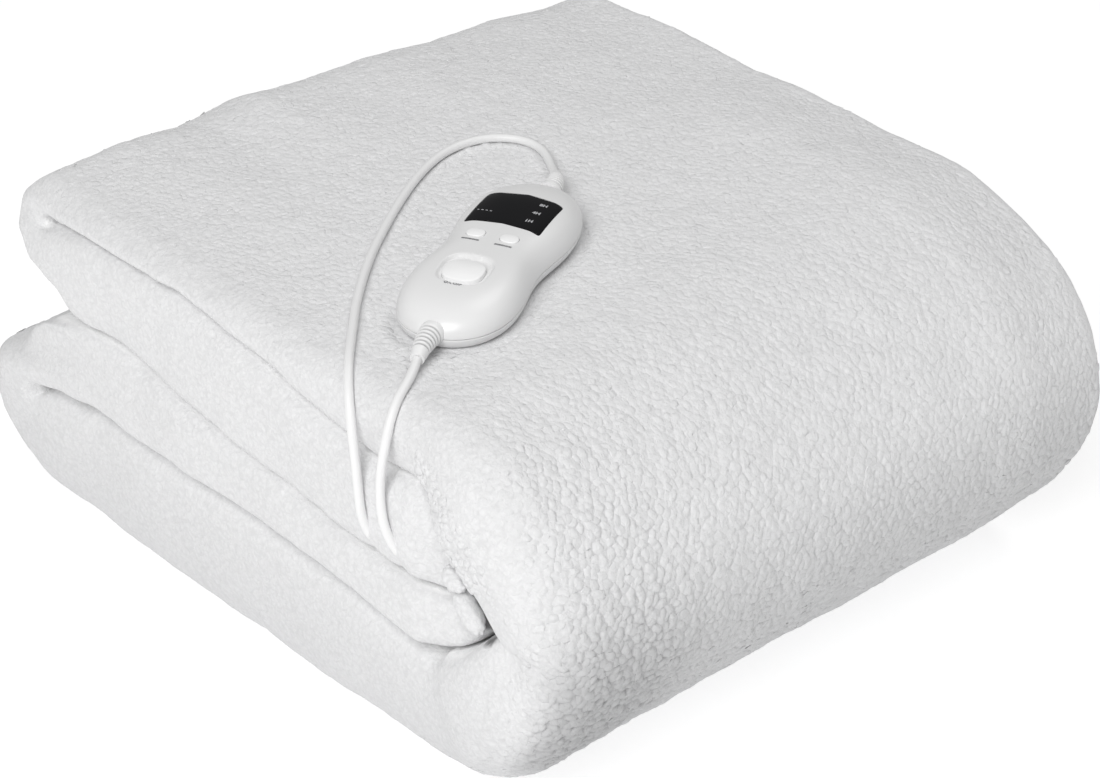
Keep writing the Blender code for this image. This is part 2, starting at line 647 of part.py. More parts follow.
def led_route(start, start_way, route, end, end_way):
    """A route that leaves its first piece and meets its last one straight, with a gap to each."""
    first, last = start + start_way * (1.5 * GAP), end - end_way * (1.5 * GAP)
    points = [first, first + start_way * CORD_STEP, *map(Vector, route),
              last - end_way * CORD_STEP, last]
    return smooth_route([tuple(point) for point in points], CORD_STEP)


def build_tube(name, points, material):
    """A plain round tube along the points, with flat ends."""
    curve = bpy.data.curves.new(name, "CURVE")
    curve.dimensions = "3D"
    spline = curve.splines.new("POLY")
    spline.points.add(len(points) - 1)
    for point, place in zip(spline.points, points):
        point.co = (*place, 1.0)
    curve.bevel_depth = 0.5 * CORD
    curve.bevel_resolution = 2
    curve.use_fill_caps = True
    add_object(name, curve, material)


def relief_profile():
    """(place along, radius) from root to tip; grooves between the ribs."""
    rows = [(-RELIEF_SINK, RELIEF_ROOT), (RIB_COLLAR, RELIEF_ROOT)]
    pitch = (RIBBED_SHARE * RELIEF_LENGTH - RIB_COLLAR) / RELIEF_RIBS
    for k in range(RELIEF_RIBS):
        start = RIB_COLLAR + k * pitch
        radius = blend(RELIEF_ROOT, RELIEF_TIP, (start + pitch) / RELIEF_LENGTH)
        for share, depth in zip(RIB_GROOVE, (RIB_DEPTH, RIB_DEPTH, 0.0, 0.0)):
            rows.append((start + share * pitch, radius - depth))
    rows.append((RELIEF_LENGTH, RELIEF_TIP))
    return rows


def build_relief(name, root, along, side, turn_angle, material):
    """Ribbed relief: round sections carried along an arc that bends from along towards side.
    Gives its tip and the direction there."""
    radius = RELIEF_LENGTH / turn_angle
    rings = []
    up = along.cross(side).normalized()
    angle = round_angles(RELIEF_SIDES)
    for place, wide in relief_profile():
        bent = max(place, 0.0) / radius
        middle = root + along * (radius * math.sin(bent) + min(place, 0.0))
        middle = middle + side * (radius * (1.0 - math.cos(bent)))
        across_turn = side * math.cos(bent) - along * math.sin(bent)
        rings.append(tuple(middle[k] + wide * (np.cos(angle) * across_turn[k]
                                               + np.sin(angle) * up[k]) for k in range(3)))
    add_object(name, ring_solid(name, rings), material)
    rise = radius * (1.0 - math.cos(turn_angle))
    tip = root + along * (radius * math.sin(turn_angle)) + side * rise
    return tip, along * math.cos(turn_angle) + side * math.sin(turn_angle)


def coil_tangent(angle, height, sign):
    """Where a straight cord beside the coil's outer turn comes clear of the coil, and its
    direction, before (-1) or past (1) the place at which it touches the turn."""
    outer_turn = COIL_MIDDLE + 0.5 * (COIL_ACROSS - 1) * CORD
    outside = COIL_MIDDLE + 0.5 * COIL_ACROSS * CORD + GAP
    clear = math.sqrt(outside ** 2 - (outer_turn - 0.5 * CORD) ** 2)
    heading = Vector((-math.sin(angle), math.cos(angle), 0.0))
    touch = Vector((COIL_PLACE[0] + outer_turn * math.cos(angle),
                    COIL_PLACE[1] + outer_turn * math.sin(angle), height))
    return touch + heading * (sign * clear), heading


def build_ring(name, material):
    """The coil's outer shape: a turned ring."""
    inner = COIL_MIDDLE - 0.5 * COIL_ACROSS * CORD
    outer = COIL_MIDDLE + 0.5 * COIL_ACROSS * CORD
    low, high = COIL_LIFT, COIL_LIFT + COIL_UP * CORD
    edge = 0.25 * CORD
    profile = ((inner, low + edge), (inner + edge, low), (outer - edge, low), (outer, low + edge),
               (outer, high - edge), (outer - edge, high), (inner + edge, high),
               (inner, high - edge))
    vertices = [(COIL_PLACE[0] + r * math.cos(a), COIL_PLACE[1] + r * math.sin(a), z)
                for a in round_angles(COIL_SIDES) for r, z in profile]
    count = len(profile)
    faces = []
    for k in range(COIL_SIDES):
        for j in range(count):
            here, there = k * count, ((k + 1) % COIL_SIDES) * count
            after = (j + 1) % count
            faces.append((here + j, there + j, there + after, here + after))
    add_object(name, closed_mesh(name, vertices, faces), material)


def build_tie(material):
    """A strap closed round the coil's section."""
    half = 0.5 * COIL_ACROSS * CORD + TIE_CLEAR
    low = COIL_LIFT - GAP
    high = COIL_LIFT + COIL_UP * CORD + GAP
    inner = [(-half, low), (half, low), (half, high), (-half, high)]
    t = TIE_THICK
    outer = [(-half - t, low - t), (half + t, low - t), (half + t, high + t), (-half - t, high + t)]
    direction = Vector((math.cos(TIE_ANGLE), math.sin(TIE_ANGLE), 0.0))
    along = Vector((-direction.y, direction.x, 0.0))
    centre = Vector((*COIL_PLACE, 0.0))
    vertices = []
    for shift in (-0.5 * TIE_WIDTH, 0.5 * TIE_WIDTH):
        for corner, z in inner + outer:
            place = centre + direction * (COIL_MIDDLE + corner) + along * shift
            vertices.append((place.x, place.y, z))
    faces = []
    for k in range(4):
        after = (k + 1) % 4
        faces.append((k, after, after + 8, k + 8))
        faces.append((4 + k, 12 + k, 12 + after, 4 + after))
        faces.append((k, 4 + k, 4 + after, after))
        faces.append((8 + k, 8 + after, 12 + after, 12 + k))
    add_object("coil_tie", closed_mesh("coil_tie", vertices, faces), material)


def rod(name, start, end, radii, sides, material):
    add_object(name, cone_mesh(name, start, end, *radii, sides), material)


def build_plug(cord_material, metal):
    """Flat two-pin plug that lies on its broad side, with its relief and pins. Gives the place
    where its relief takes the cord, and the cord's direction there."""
    heading = Vector((math.cos(PLUG_HEADING), math.sin(PLUG_HEADING), 0.0))
    side = Vector((-heading.y, heading.x, 0.0))
    root = Vector(PLUG_PLACE)
    rings = []
    for share, swell in PLUG_SECTIONS:
        widening = float(smooth(np.array(share / PLUG_WIDENS)))
        half_side = blend(PLUG_TAIL[0], PLUG_FACE[0], widening) * swell
        half_up = blend(PLUG_TAIL[1], PLUG_FACE[1], widening) * swell
        across_plug, upward = super_round(round_angles(PLUG_SIDES), half_side, half_up,
                                          PLUG_POWER)
        middle = root + heading * PLUG_LENGTH * share
        rings.append((middle.x + side.x * across_plug, middle.y + side.y * across_plug,
                      middle.z + upward))
    add_object("plug_body", ring_solid("plug_body", rings), cord_material)
    cord_end = root - heading * (PLUG_RELIEF + GAP)
    rod("plug_relief", cord_end, root - heading * GAP, (RELIEF_TIP, RELIEF_ROOT), RELIEF_SIDES,
        cord_material)
    face = root + heading * (PLUG_LENGTH + GAP)
    for number, sign in ((1, 1.0), (2, -1.0)):
        start = face + side * (0.5 * sign * PIN_APART)
        rod(f"plug_pin_{number}", start, start + heading * PIN_LENGTH,
            (PIN_RADIUS, PIN_TAPER * PIN_RADIUS), PIN_SIDES, metal)
    return cord_end, heading


def build_cords(frame):
    cord_white = plastic("white_cord", (0.84, 0.84, 0.84), 0.38)
    metal = plastic("pin_metal", (0.72, 0.70, 0.66), 0.25, 1.0)
    strap = plastic("tie_strap", (0.80, 0.80, 0.80), 0.85)
    bpy.context.view_layer.update()
    matrix = frame.matrix_world
    axis_u = (matrix.to_3x3() @ Vector((1.0, 0.0, 0.0))).normalized()
    axis_v = (matrix.to_3x3() @ Vector((0.0, 1.0, 0.0))).normalized()
    tail = matrix @ Vector((-CONTROLLER_HALF, 0.0, RELIEF_W))
    head = matrix @ Vector((CONTROLLER_HALF, 0.0, RELIEF_W))
    axis_w = axis_u.cross(axis_v)
    tail_side = -axis_v * math.cos(TAIL_RELIEF_DROP) - axis_w * math.sin(TAIL_RELIEF_DROP)
    head_side = axis_v * math.cos(HEAD_RELIEF_DROP) - axis_w * math.sin(HEAD_RELIEF_DROP)
    tail_tip, tail_way = build_relief("mains_relief", tail, -axis_u, tail_side,
                                      TAIL_RELIEF_TURN, cord_white)
    head_tip, head_way = build_relief("lead_relief", head, axis_u, head_side,
                                      HEAD_RELIEF_TURN, cord_white)

    gland = [Vector((GLAND_X[k], *GLAND_YZ[k])) for k in range(2)]
    rod("lead_gland", *gland, GLAND_RADIUS, RELIEF_SIDES, cord_white)
    gland_way = (gland[1] - gland[0]).normalized()
    build_tube("blanket_lead", led_route(head_tip, head_way, LEAD_ROUTE, gland[0], gland_way),
               cord_white)

    build_ring("mains_coil", cord_white)
    build_tie(strap)
    coil_in, in_way = coil_tangent(COIL_IN, COIL_LIFT + 0.5 * CORD, -1.0)
    build_tube("mains_lead", led_route(tail_tip, tail_way, MAINS_ROUTE, coil_in, in_way),
               cord_white)

    plug_end, plug_way = build_plug(cord_white, metal)
    coil_out, out_way = coil_tangent(COIL_OUT, COIL_LIFT + (COIL_UP - 0.5) * CORD, 1.0)
    build_tube("plug_tail", led_route(coil_out, out_way, TAIL_ROUTE, plug_end, plug_way),
               cord_white)


def main():
    clear_scene()
    fleece = plastic("fleece", (0.80, 0.80, 0.80), 0.95)
    build_blanket(fleece)
    frame = controller_frame()
    build_controller(frame)
    build_cords(frame)


main()
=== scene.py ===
"""Looks of the folded heated blanket: sherpa fleece, hand controller, leads, coil and plug.

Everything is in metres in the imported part's own frame: +Z up, the pack stands on z = 0.
"""
from math import cos, degrees, pi, radians, sin

import bmesh
import bpy
import numpy as np
from mathutils import Matrix, Vector
from numpy.linalg import norm


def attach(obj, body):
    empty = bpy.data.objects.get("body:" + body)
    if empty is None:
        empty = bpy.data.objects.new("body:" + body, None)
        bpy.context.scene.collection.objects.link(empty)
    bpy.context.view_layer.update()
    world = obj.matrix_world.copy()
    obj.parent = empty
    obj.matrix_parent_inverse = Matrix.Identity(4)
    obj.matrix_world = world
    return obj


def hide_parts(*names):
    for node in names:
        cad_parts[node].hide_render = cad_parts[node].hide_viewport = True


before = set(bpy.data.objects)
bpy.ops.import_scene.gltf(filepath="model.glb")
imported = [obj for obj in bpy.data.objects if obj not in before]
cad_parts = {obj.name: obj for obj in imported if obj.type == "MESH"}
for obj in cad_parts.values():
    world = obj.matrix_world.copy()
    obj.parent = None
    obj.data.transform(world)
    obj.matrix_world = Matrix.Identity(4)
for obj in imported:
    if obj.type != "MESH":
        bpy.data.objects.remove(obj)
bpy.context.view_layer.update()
ROOT = "pack"
GAP = 0.0003


# ---- Camera, light and floor ----

# The photograph's view: heading from +Y towards +X, pitch down, and the framing's shift.
HEADING, PITCH, DISTANCE = radians(41.7), radians(30.5), 1.58
AIM, LENS, SENSOR, SHIFT = (0.0, 0.0, 0.08), 98.18, 36.0, (0.01636, -0.0018)
WHITE, ROOM_LIGHT, FLOOR_HALF = (1.0, 1.0, 1.0, 1.0), 0.32, 9.0
# Soft lamps: name, place, aim, size and power.
LAMPS = (("key", (-1.7, -1.0, 1.9), (0.0, 0.0, 0.1), 1.6, 45.5),
         ("top", (0.95, -0.05, 2.0), (0.05, 0.0, 0.1), 1.2, 8.0))


def linked(name, data):
    made = bpy.data.objects.new(name, data)
    bpy.context.scene.collection.objects.link(made)
    return made


def place_camera():
    ahead = Vector((sin(HEADING) * cos(PITCH), cos(HEADING) * cos(PITCH), -sin(PITCH)))
    right = Vector((cos(HEADING), -sin(HEADING), 0.0))
    turned = Matrix((right, right.cross(ahead), -ahead)).transposed().to_4x4()
    data = bpy.data.cameras.new("camera")
    data.lens, data.sensor_width = LENS, SENSOR
    data.shift_x, data.shift_y = SHIFT
    camera = linked("camera", data)
    camera.matrix_world = Matrix.Translation(Vector(AIM) - ahead * DISTANCE) @ turned
    bpy.context.scene.camera = camera


def soft_box(name, place, aim, size, power):
    """An area lamp at a place, turned to an aim."""
    data = bpy.data.lights.new(name, "AREA")
    data.shape, data.size, data.energy = "DISK", size, power
    lamp = linked(name, data)
    lamp.location = place
    lamp.rotation_euler = (Vector(aim) - Vector(place)).to_track_quat("-Z", "Y").to_euler()


def light_studio():
    """A white room, one large soft lamp at the front left and a weak one above, on a white floor."""
    world = bpy.data.worlds.new("studio")
    world.use_nodes = True
    feed(world.node_tree, world.node_tree.nodes["Background"],
         {"Color": WHITE, "Strength": ROOM_LIGHT})
    bpy.context.scene.world = world
    for lamp in LAMPS:
        soft_box(*lamp)
    corners = [[[x, y, 0.0] for x in (-FLOOR_HALF, FLOOR_HALF)] for y in (-FLOOR_HALF, FLOOR_HALF)]
    grid_piece("floor", np.array(corners), floor_finish(), around=False)
    view = bpy.context.scene.view_settings
    view.view_transform = "Standard"
    view.look = "None"


# ---- Materials ----

def feed(tree, made, inputs):
    """Sets a node's inputs to values, or links sockets to them."""
    for name, value in dict(inputs).items():
        if isinstance(value, bpy.types.NodeSocket):
            tree.links.new(value, made.inputs[name])
        else:
            made.inputs[name].default_value = value
    return made


def node(tree, kind, inputs=(), **settings):
    """A shader node with its settings and inputs."""
    made = tree.nodes.new("ShaderNode" + kind)
    for name, value in settings.items():
        setattr(made, name, value)
    return feed(tree, made, inputs)


def new_material(name, inputs):
    """A material with its shader's inputs set, and its node tree."""
    material = bpy.data.materials.new(name)
    material.use_nodes = True
    tree = material.node_tree
    feed(tree, tree.nodes["Principled BSDF"], inputs)
    return material, tree


def grey(level, cool=0.0):
    """A grey, made cooler by a little more blue."""
    return level, level, level + cool, 1.0


def mixed(tree, share, first, second, **settings):
    """Colour between two, by a share."""
    inputs = {"Fac": share, "Color1": first, "Color2": second}
    return node(tree, "MixRGB", inputs, **settings).outputs["Color"]


def mapped(tree, value, start, end):
    """0 to 1 as a value goes from start to end."""
    inputs = {"Value": value, "From Min": start, "From Max": end}
    return node(tree, "MapRange", inputs).outputs["Result"]


def moulded_group():
    """Fine unevenness of a moulded surface: a roughness that drifts, and a shallow grain."""
    group = bpy.data.node_groups.new("moulded", "ShaderNodeTree")
    for label, value in (("Roughness", 0.3), ("Drift", 0.05), ("Grain", 0.02), ("Scale", 900.0)):
        socket = group.interface.new_socket(label, in_out="INPUT", socket_type="NodeSocketFloat")
        socket.default_value = value
    for label, kind in (("Roughness", "NodeSocketFloat"), ("Normal", "NodeSocketVector")):
        group.interface.new_socket(label, in_out="OUTPUT", socket_type=kind)
    given = group.nodes.new("NodeGroupInput").outputs
    place = node(group, "TexCoord").outputs["Object"]
    cloud = node(group, "TexNoise", {"Vector": place, "Scale": 40.0, "Detail": 2.0})
    drift = node(group, "Math", {0: cloud.outputs["Fac"], 1: 0.5}, operation="SUBTRACT")
    rough = node(group, "Math", {0: drift.outputs[0], 1: given["Drift"], 2: given["Roughness"]},
                 operation="MULTIPLY_ADD")
    grain = node(group, "TexNoise", {"Vector": place, "Scale": given["Scale"], "Detail": 1.0})
    bump = node(group, "Bump", {"Height": grain.outputs["Fac"], "Strength": given["Grain"],
                                "Distance": 0.0002})
    feed(group, group.nodes.new("NodeGroupOutput"),
         {"Roughness": rough.outputs[0], "Normal": bump.outputs["Normal"]})
    return group


MOULDED = moulded_group()


def moulded_finish(name, colour, roughness, grain, drift=0.05, scale=900.0, **shader_inputs):
    inputs = {label.replace("_", " "): value for label, value in shader_inputs.items()}
    material, tree = new_material(name, {"Base Color": (*colour, 1.0), **inputs})
    look = node(tree, "Group", {"Roughness": roughness, "Drift": drift, "Grain": grain,
                                "Scale": scale}, node_tree=MOULDED)
    feed(tree, tree.nodes["Principled BSDF"],
         {label: look.outputs[label] for label in ("Roughness", "Normal")})
    return material


def ribbed_finish():
    """The sheath's white, with painted shade: greyer down in the grooves."""
    material = moulded_finish("ribbed_white", (0.84, 0.84, 0.84), 0.4, 0.05)
    tree = material.node_tree
    groove = node(tree, "Attribute", attribute_name="pile").outputs["Fac"]
    feed(tree, tree.nodes["Principled BSDF"],
         {"Base Color": mixed(tree, groove, grey(0.84), grey(0.3))})
    return material


def floor_finish():
    return new_material("floor_white", {
        "Base Color": grey(0.55), "Roughness": 1.0, "Specular IOR Level": 0.0,
        "Emission Color": WHITE, "Emission Strength": 0.63})[0]


def fleece_finish():
    """White sherpa: small bent curls with short fibres on them. Painted shade makes it slightly
    greyer between the curls, greyer where the pile value is over 1, dark inside the mouth (pile 3)
    and a little greyer near the floor; painted light makes it whiter at the fold edges by the looped
    side's creases (pile below 0)."""
    material, tree = new_material("sherpa_fleece", {
        "Roughness": 0.95, "Specular IOR Level": 0.15, "Sheen Weight": 0.15,
        "Sheen Roughness": 0.6})
    place = node(tree, "TexCoord").outputs["Object"]
    pile = node(tree, "Attribute", attribute_name="pile").outputs["Fac"]
    drift = node(tree, "TexNoise", {"Vector": place, "Scale": 260.0, "Detail": 1.0})
    shift = mixed(tree, 0.005, place, drift.outputs["Color"], blend_type="ADD")
    curls = node(tree, "TexVoronoi", {"Vector": shift, "Scale": 400.0, "Smoothness": 0.35},
                 feature="SMOOTH_F1")
    fibres = node(tree, "TexNoise", {"Vector": shift, "Scale": 1100.0, "Detail": 2.0,
                                     "Roughness": 0.6})
    height = node(tree, "Math", {0: curls.outputs["Distance"], 1: -0.9, 2: fibres.outputs["Fac"]},
                  operation="MULTIPLY_ADD").outputs[0]
    bump = node(tree, "Bump", {"Height": height, "Strength": 0.55, "Distance": 0.0007})
    # Painted shade: greyer in the cracks between the curls, where the bump height is low.
    between = mixed(tree, pile, grey(0.7, 0.005), grey(0.73, 0.005))
    colour = mixed(tree, mapped(tree, height, -0.25, 0.4), between, grey(0.79, 0.005))
    # Painted shade: greyer where the pile value runs from 1 to 2, low on the front turn.
    colour = mixed(tree, mapped(tree, pile, 1.0, 2.0), colour, grey(0.49, 0.005))
    # Painted shade: near black inside the mouth, pile value 2 to 3.
    colour = mixed(tree, mapped(tree, pile, 2.0, 3.0), colour, grey(0.1))
    # Painted shade: a little greyer towards the floor, below 8.5 cm.
    level = node(tree, "SeparateXYZ", {"Vector": place}).outputs["Z"]
    colour = mixed(tree, mapped(tree, level, 0.085, 0.0), colour, grey(0.87, 0.005),
                   blend_type="MULTIPLY")
    # Painted light: whiter at the fold edges by the looped side's creases, pile value below 0.
    colour = mixed(tree, mapped(tree, pile, 0.0, -1.0), colour, grey(0.94))
    feed(tree, tree.nodes["Principled BSDF"],
         {"Base Color": colour, "Normal": bump.outputs["Normal"]})
    return material


# ---- Mesh helpers ----

def grid_piece(name, points, material, around=True, caps=(), sharp=None, values=None):
    """A piece from a grid of points, rows by columns. Its columns close on themselves when it goes
    around, and the rows named in caps (0 and -1) are closed with one face each."""
    rows, columns = points.shape[:2]
    index = np.arange(rows * columns).reshape(rows, columns)
    here, after = index, np.roll(index, -1, axis=1)
    if not around:
        here, after = here[:, :-1], after[:, :-1]
    quads = np.stack([here[:-1], after[:-1], after[1:], here[1:]], axis=-1)
    faces = quads.reshape(-1, 4).tolist() + [index[row].tolist() for row in caps]
    return add_piece(name, new_mesh(name, points, faces, values), material, bool(caps), sharp)


def new_mesh(name, points, faces, values=None):
    mesh = bpy.data.meshes.new(name)
    mesh.from_pydata(points.reshape(-1, 3), [], faces)
    if values is not None:
        stored = mesh.attributes.new("pile", "FLOAT", "POINT")
        stored.data.foreach_set("value", values.astype(np.float32).ravel())
    return mesh


def turn_outwards(mesh, merge=False):
    """Cuts a mesh's caps into triangles and turns its faces outwards, with its doubled points
    merged first when asked."""
    work = bmesh.new()
    work.from_mesh(mesh)
    if merge:
        bmesh.ops.remove_doubles(work, verts=work.verts[:], dist=1e-7)
    bmesh.ops.triangulate(work, faces=[face for face in work.faces if len(face.verts) > 4])
    bmesh.ops.recalc_face_normals(work, faces=work.faces[:])
    work.to_mesh(mesh)
    work.free()


def add_piece(name, mesh, material, recalculate=True, sharp=None):
    if recalculate:
        turn_outwards(mesh)
    mesh.shade_smooth()
    if sharp is not None:
        mesh.set_sharp_from_angle(angle=radians(sharp))
    mesh.materials.append(material)
    return linked(name, mesh)


def settle_piece(piece, body, slot, *nodes):
    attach(piece, body)
    if nodes:
        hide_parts(*nodes)
    return piece


def capped(name, points, material, slot, *nodes, body=ROOT, sharp=50, values=None):
    """A closed piece from rings of points, settled on its body."""
    piece = grid_piece(name, points, material, caps=(0, -1), sharp=sharp, values=values)
    return settle_piece(piece, body, slot, *nodes)


def final_mesh(piece):
    """The piece's mesh as its modifiers leave it."""
    graph = bpy.context.evaluated_depsgraph_get()
    return bpy.data.meshes.new_from_object(piece.evaluated_get(graph),
                                           preserve_all_data_layers=True, depsgraph=graph)


def apply_steps(piece):
    """Takes the modifiers' result over as the piece's own mesh."""
    mesh = final_mesh(piece)
    piece.modifiers.clear()
    old, piece.data = piece.data, mesh
    name = old.name
    bpy.data.meshes.remove(old)
    mesh.name = name


def smooth(t):
    """0 to 1 with level ends."""
    t = np.clip(t, 0.0, 1.0)
    return t * t * (3.0 - 2.0 * t)


def ramp(value, start, end):
    return smooth((value - start) / (end - start))


def fall(value, start, end):
    """1 before the start, 0 past the end."""
    return 1.0 - ramp(value, start, end)


def hill(value, rise_start, rise_end, fall_start, fall_end):
    """1 between a rise and a fall, 0 outside them."""
    return ramp(value, rise_start, rise_end) * fall(value, fall_start, fall_end)


def blend(a, b, t):
    return a + (b - a) * t


def cell_random(cells, seed):
    """Three even random numbers for each lattice cell: its indices are multiplied by large primes
    and their bits mixed."""
    key = cells.astype(np.int64) @ np.array([73856093, 19349663, 83492791]) + 7919 * seed
    parts = []
    for prime in (1274126177, 2246822519, 3266489917):
        bits = ((key ^ (key >> 15)) * prime) & 0x7FFFFFFFFFFF
        bits = ((bits ^ (bits >> 17)) * 668265263) & 0x7FFFFFFFFFFF
        parts.append(((bits >> 12) & 0xFFFF) / 65536.0)
    return np.stack(parts, axis=-1)


def clumps(points, size, seed):
    """Rounded clumps, 1 at their middles and 0 in the cracks between them: how much nearer the
    nearest of a jittered lattice's centres is than the second nearest, evened out."""
    scaled = points / size
    home = np.floor(scaled)
    first = np.full(len(points), 9.0)
    second = first.copy()
    for shift in np.ndindex(3, 3, 3):
        cell = home + np.array(shift) - 1.0
        centre = cell + 0.5 + 0.85 * (cell_random(cell, seed) - 0.5)
        distance = norm(centre - scaled, axis=1)
        second = np.minimum(second, np.maximum(first, distance))
        first = np.minimum(first, distance)
    return smooth((second - first) / 0.55) * (1.0 - 0.45 * np.clip(first, 0.0, 1.0) ** 2)


def drifts(points, size, seed):
    """Smooth noise from -1 to 1: random numbers at lattice corners, blended smoothly between."""
    scaled = points / size
    home = np.floor(scaled)
    part = smooth(scaled - home)
    total = np.zeros(len(points))
    for corner in np.ndindex(2, 2, 2):
        weight = np.prod(np.where(corner, part, 1.0 - part), axis=1)
        total += weight * cell_random(home + np.array(corner), seed)[:, 0]
    return 2.0 * total - 1.0


# ---- Cord routes ----

CORD, CORD_STEP = 0.0045, 0.003     # thickness, and the step along its path
# Routes' points in millimetres, turned into metres.
LEAD_ROUTE = np.array((
    (21.5, 15, 205.8), (22.8, 25, 206.3), (18.5, 34.8, 206.7), (10, 42.8, 206.9),
    (-0.5, 46.8, 206.8), (-13, 47.3, 206.6), (-25, 44.8, 206.2), (-42, 37.5, 205.5),
    (-63.2, 25.2, 204.8), (-89.3, 7.5, 203.7), (-117.4, -14, 202.9), (-145.6, -39.8, 201.9),
    (-165, -60.5, 201.4), (-179.6, -76.3, 201), (-188.9, -87, 197.9), (-195, -95, 190.5),
    (-198.7, -100.5, 182), (-200.1, -104, 172), (-200.4, -105.8, 161), (-200.4, -106.4, 152),
    (-200.4, -107, 143), (-199.1, -107.5, 133), (-192.8, -107.5, 120.5),
    (-180, -105, 112.5))) / 1000.0
MAINS_ROUTE = np.array((
    (-185.8, -118.2, 199.8), (-192, -122, 195.4), (-196.4, -123.8, 188.6), (-199, -124.3, 180),
    (-200.2, -123.7, 172.5), (-200.4, -122.6, 165), (-200.4, -122, 156.5), (-200.4, -122.4, 148),
    (-200.3, -123.6, 140), (-198.5, -126.2, 132), (-192.5, -128.5, 120.5), (-182, -129.8, 113),
    (-168, -130.5, 110.2), (-130, -130.5, 108), (-80, -130.5, 105), (-30, -130.5, 101.8),
    (30, -130.5, 99.5), (90, -130.5, 99.3), (140, -130, 98), (180, -128, 94), (205, -126, 88),
    (221.5, -123, 76), (231, -119, 59), (236, -113, 40), (241, -104, 22), (249, -91, 9.5),
    (257, -74, 4.8))) / 1000.0
TAIL_ROUTE = np.array(((254.5, 30, 13), (254, 40, 8.5))) / 1000.0
COIL_PLACE, COIL_MIDDLE, COIL_LIFT = (0.245, -0.02), 0.0265, 0.0021
COIL_IN, COIL_OUT, COIL_LEAD = radians(-18.0), radians(20.0), 0.017
COIL_MOVE, COIL_ANGLE_STEP = 40.0, 12.0     # degrees
# Slot of each turn of the coil: sideways and upwards, in cords.
COIL_SLOTS = ((0.5, 0), (-0.5, 0), (-0.5, 1), (0.5, 1), (0.5, 2), (-0.5, 2), (-0.5, 3), (0.5, 3))
GLAND = (Vector((-0.159, -0.0995, 0.1093)), Vector((-0.13, -0.0975, 0.1086)))
PLUG_PLACE, PLUG_HEADING = Vector((0.254, 0.096, 0.0074)), radians(91.0)
PLUG_RELIEF, PLUG_LENGTH = 0.023, 0.035
PIN_APART, PIN_LENGTH, PIN_RADIUS = 0.0093, 0.019, 0.002
STRAP_WIDE, STRAP_THICK, STRAP_TURNED = 0.008, 0.0011, radians(205.0)
PLUG_WIDE, PLUG_THICK, PLUG_WIDENS = (0.0085, 0.0172), (0.0062, 0.0068), 0.62
NECK_RADII, NECK_RIBS, NECK_RIB_DEPTH = (0.0029, 0.0046), 5.0, 0.0006
RELIEF_LENGTH, RELIEF_W = 0.0205, 0.008
RELIEF_RADII, RELIEF_ROOT = (0.006, 0.0034), 0.0022     # root and tip, and how far it is let in
# The reliefs' ribs: how many, where the first starts, their pitch, a groove's width and depth.
RIBS, RIB_START, RIB_PITCH, GROOVE_WIDTH, GROOVE_DEPTH = 6.0, 0.03, 0.118, 0.19, 0.0015
CONTROLLER_HALF, CONTROLLER_WIDE = 0.0742, 0.03     # half length and half width
CONTROLLER_MATRIX = (Matrix.Translation((-0.0798, -0.0616, 0.2008))
                     @ Matrix.Rotation(radians(26.5), 4, "Z")
                     @ Matrix.Rotation(radians(-1.3), 4, "Y")
                     @ Matrix.Rotation(radians(0.6), 4, "X"))


def smooth_route(points, spacing):
    """Even steps on the Catmull-Rom curve through a route's points."""
    route = np.array([tuple(point) for point in points])
    ends = np.vstack([2.0 * route[0] - route[1], route, 2.0 * route[-1] - route[-2]])
    t = np.linspace(0.0, 1.0, 24, endpoint=False)[None, :, None]
    a, b, c, d = (ends[k:len(ends) - 3 + k, None, :] for k in range(4))
    fine = 0.5 * (2.0 * b + (c - a) * t + (2.0 * a - 5.0 * b + 4.0 * c - d) * t ** 2
                  + (3.0 * b - a - 3.0 * c + d) * t ** 3)
    fine = np.vstack([fine.reshape(-1, 3), route[-1:]])
    reach = np.concatenate([[0.0], np.cumsum(norm(np.diff(fine, axis=0), axis=1))])
    at = np.linspace(0.0, reach[-1], max(2, round(reach[-1] / spacing)) + 1)
    even = np.stack([np.interp(at, reach, fine[:, k]) for k in range(3)], axis=-1)
    for _ in range(12):
        even[2:-2] = 0.5 * even[2:-2] + 0.25 * (even[1:-3] + even[3:-1])
    return even


def coil_path():
    """The coil's cord: turns on two rows and four levels. Each turn moves to the next slot over
    COIL_MOVE degrees, and as much sooner than the one before, so that no two moves cross."""
    total = (len(COIL_SLOTS) - 1) * 360.0 + degrees(COIL_OUT - COIL_IN)
    angle = np.append(np.arange(0.0, total, COIL_ANGLE_STEP), total)
    slot = np.tile(COIL_SLOTS[0], (len(angle), 1))
    for k, step in enumerate(np.diff(COIL_SLOTS, axis=0)):
        end = 360.0 + (360.0 - COIL_MOVE) * k
        slot += ramp(angle, end - COIL_MOVE, end)[:, None] * step
    side, level = slot.T
    turned = COIL_IN + np.radians(angle)
    radius = COIL_MIDDLE + side * CORD
    return np.stack([COIL_PLACE[0] + radius * np.cos(turned),
                     COIL_PLACE[1] + radius * np.sin(turned),
                     COIL_LIFT + (level + 0.5) * CORD], axis=-1)


def relief_arc(root, along, side, turn, share):
    """Place and direction at a share of a relief's length, on its arc from along to side."""
    radius = RELIEF_LENGTH / turn
    bent = turn * share
    place = root + along * (radius * sin(bent)) + side * (radius * (1.0 - cos(bent)))
    return place, along * cos(bent) + side * sin(bent)


def relief_axes():
    """Root, direction, bend direction and bend of the tail's relief and of the head's."""
    turned = CONTROLLER_MATRIX.to_3x3()
    u, v, w = (turned @ Vector(axis) for axis in ((1, 0, 0), (0, 1, 0), (0, 0, 1)))
    tail = CONTROLLER_MATRIX @ Vector((-CONTROLLER_HALF, 0.0, RELIEF_W))
    head = CONTROLLER_MATRIX @ Vector((CONTROLLER_HALF, 0.0, RELIEF_W))
    down_tail, down_head = radians(40.0), radians(24.0)
    return ((tail, -u, -v * cos(down_tail) - w * sin(down_tail), radians(14.0)),
            (head, u, v * cos(down_head) - w * sin(down_head), radians(30.0)))


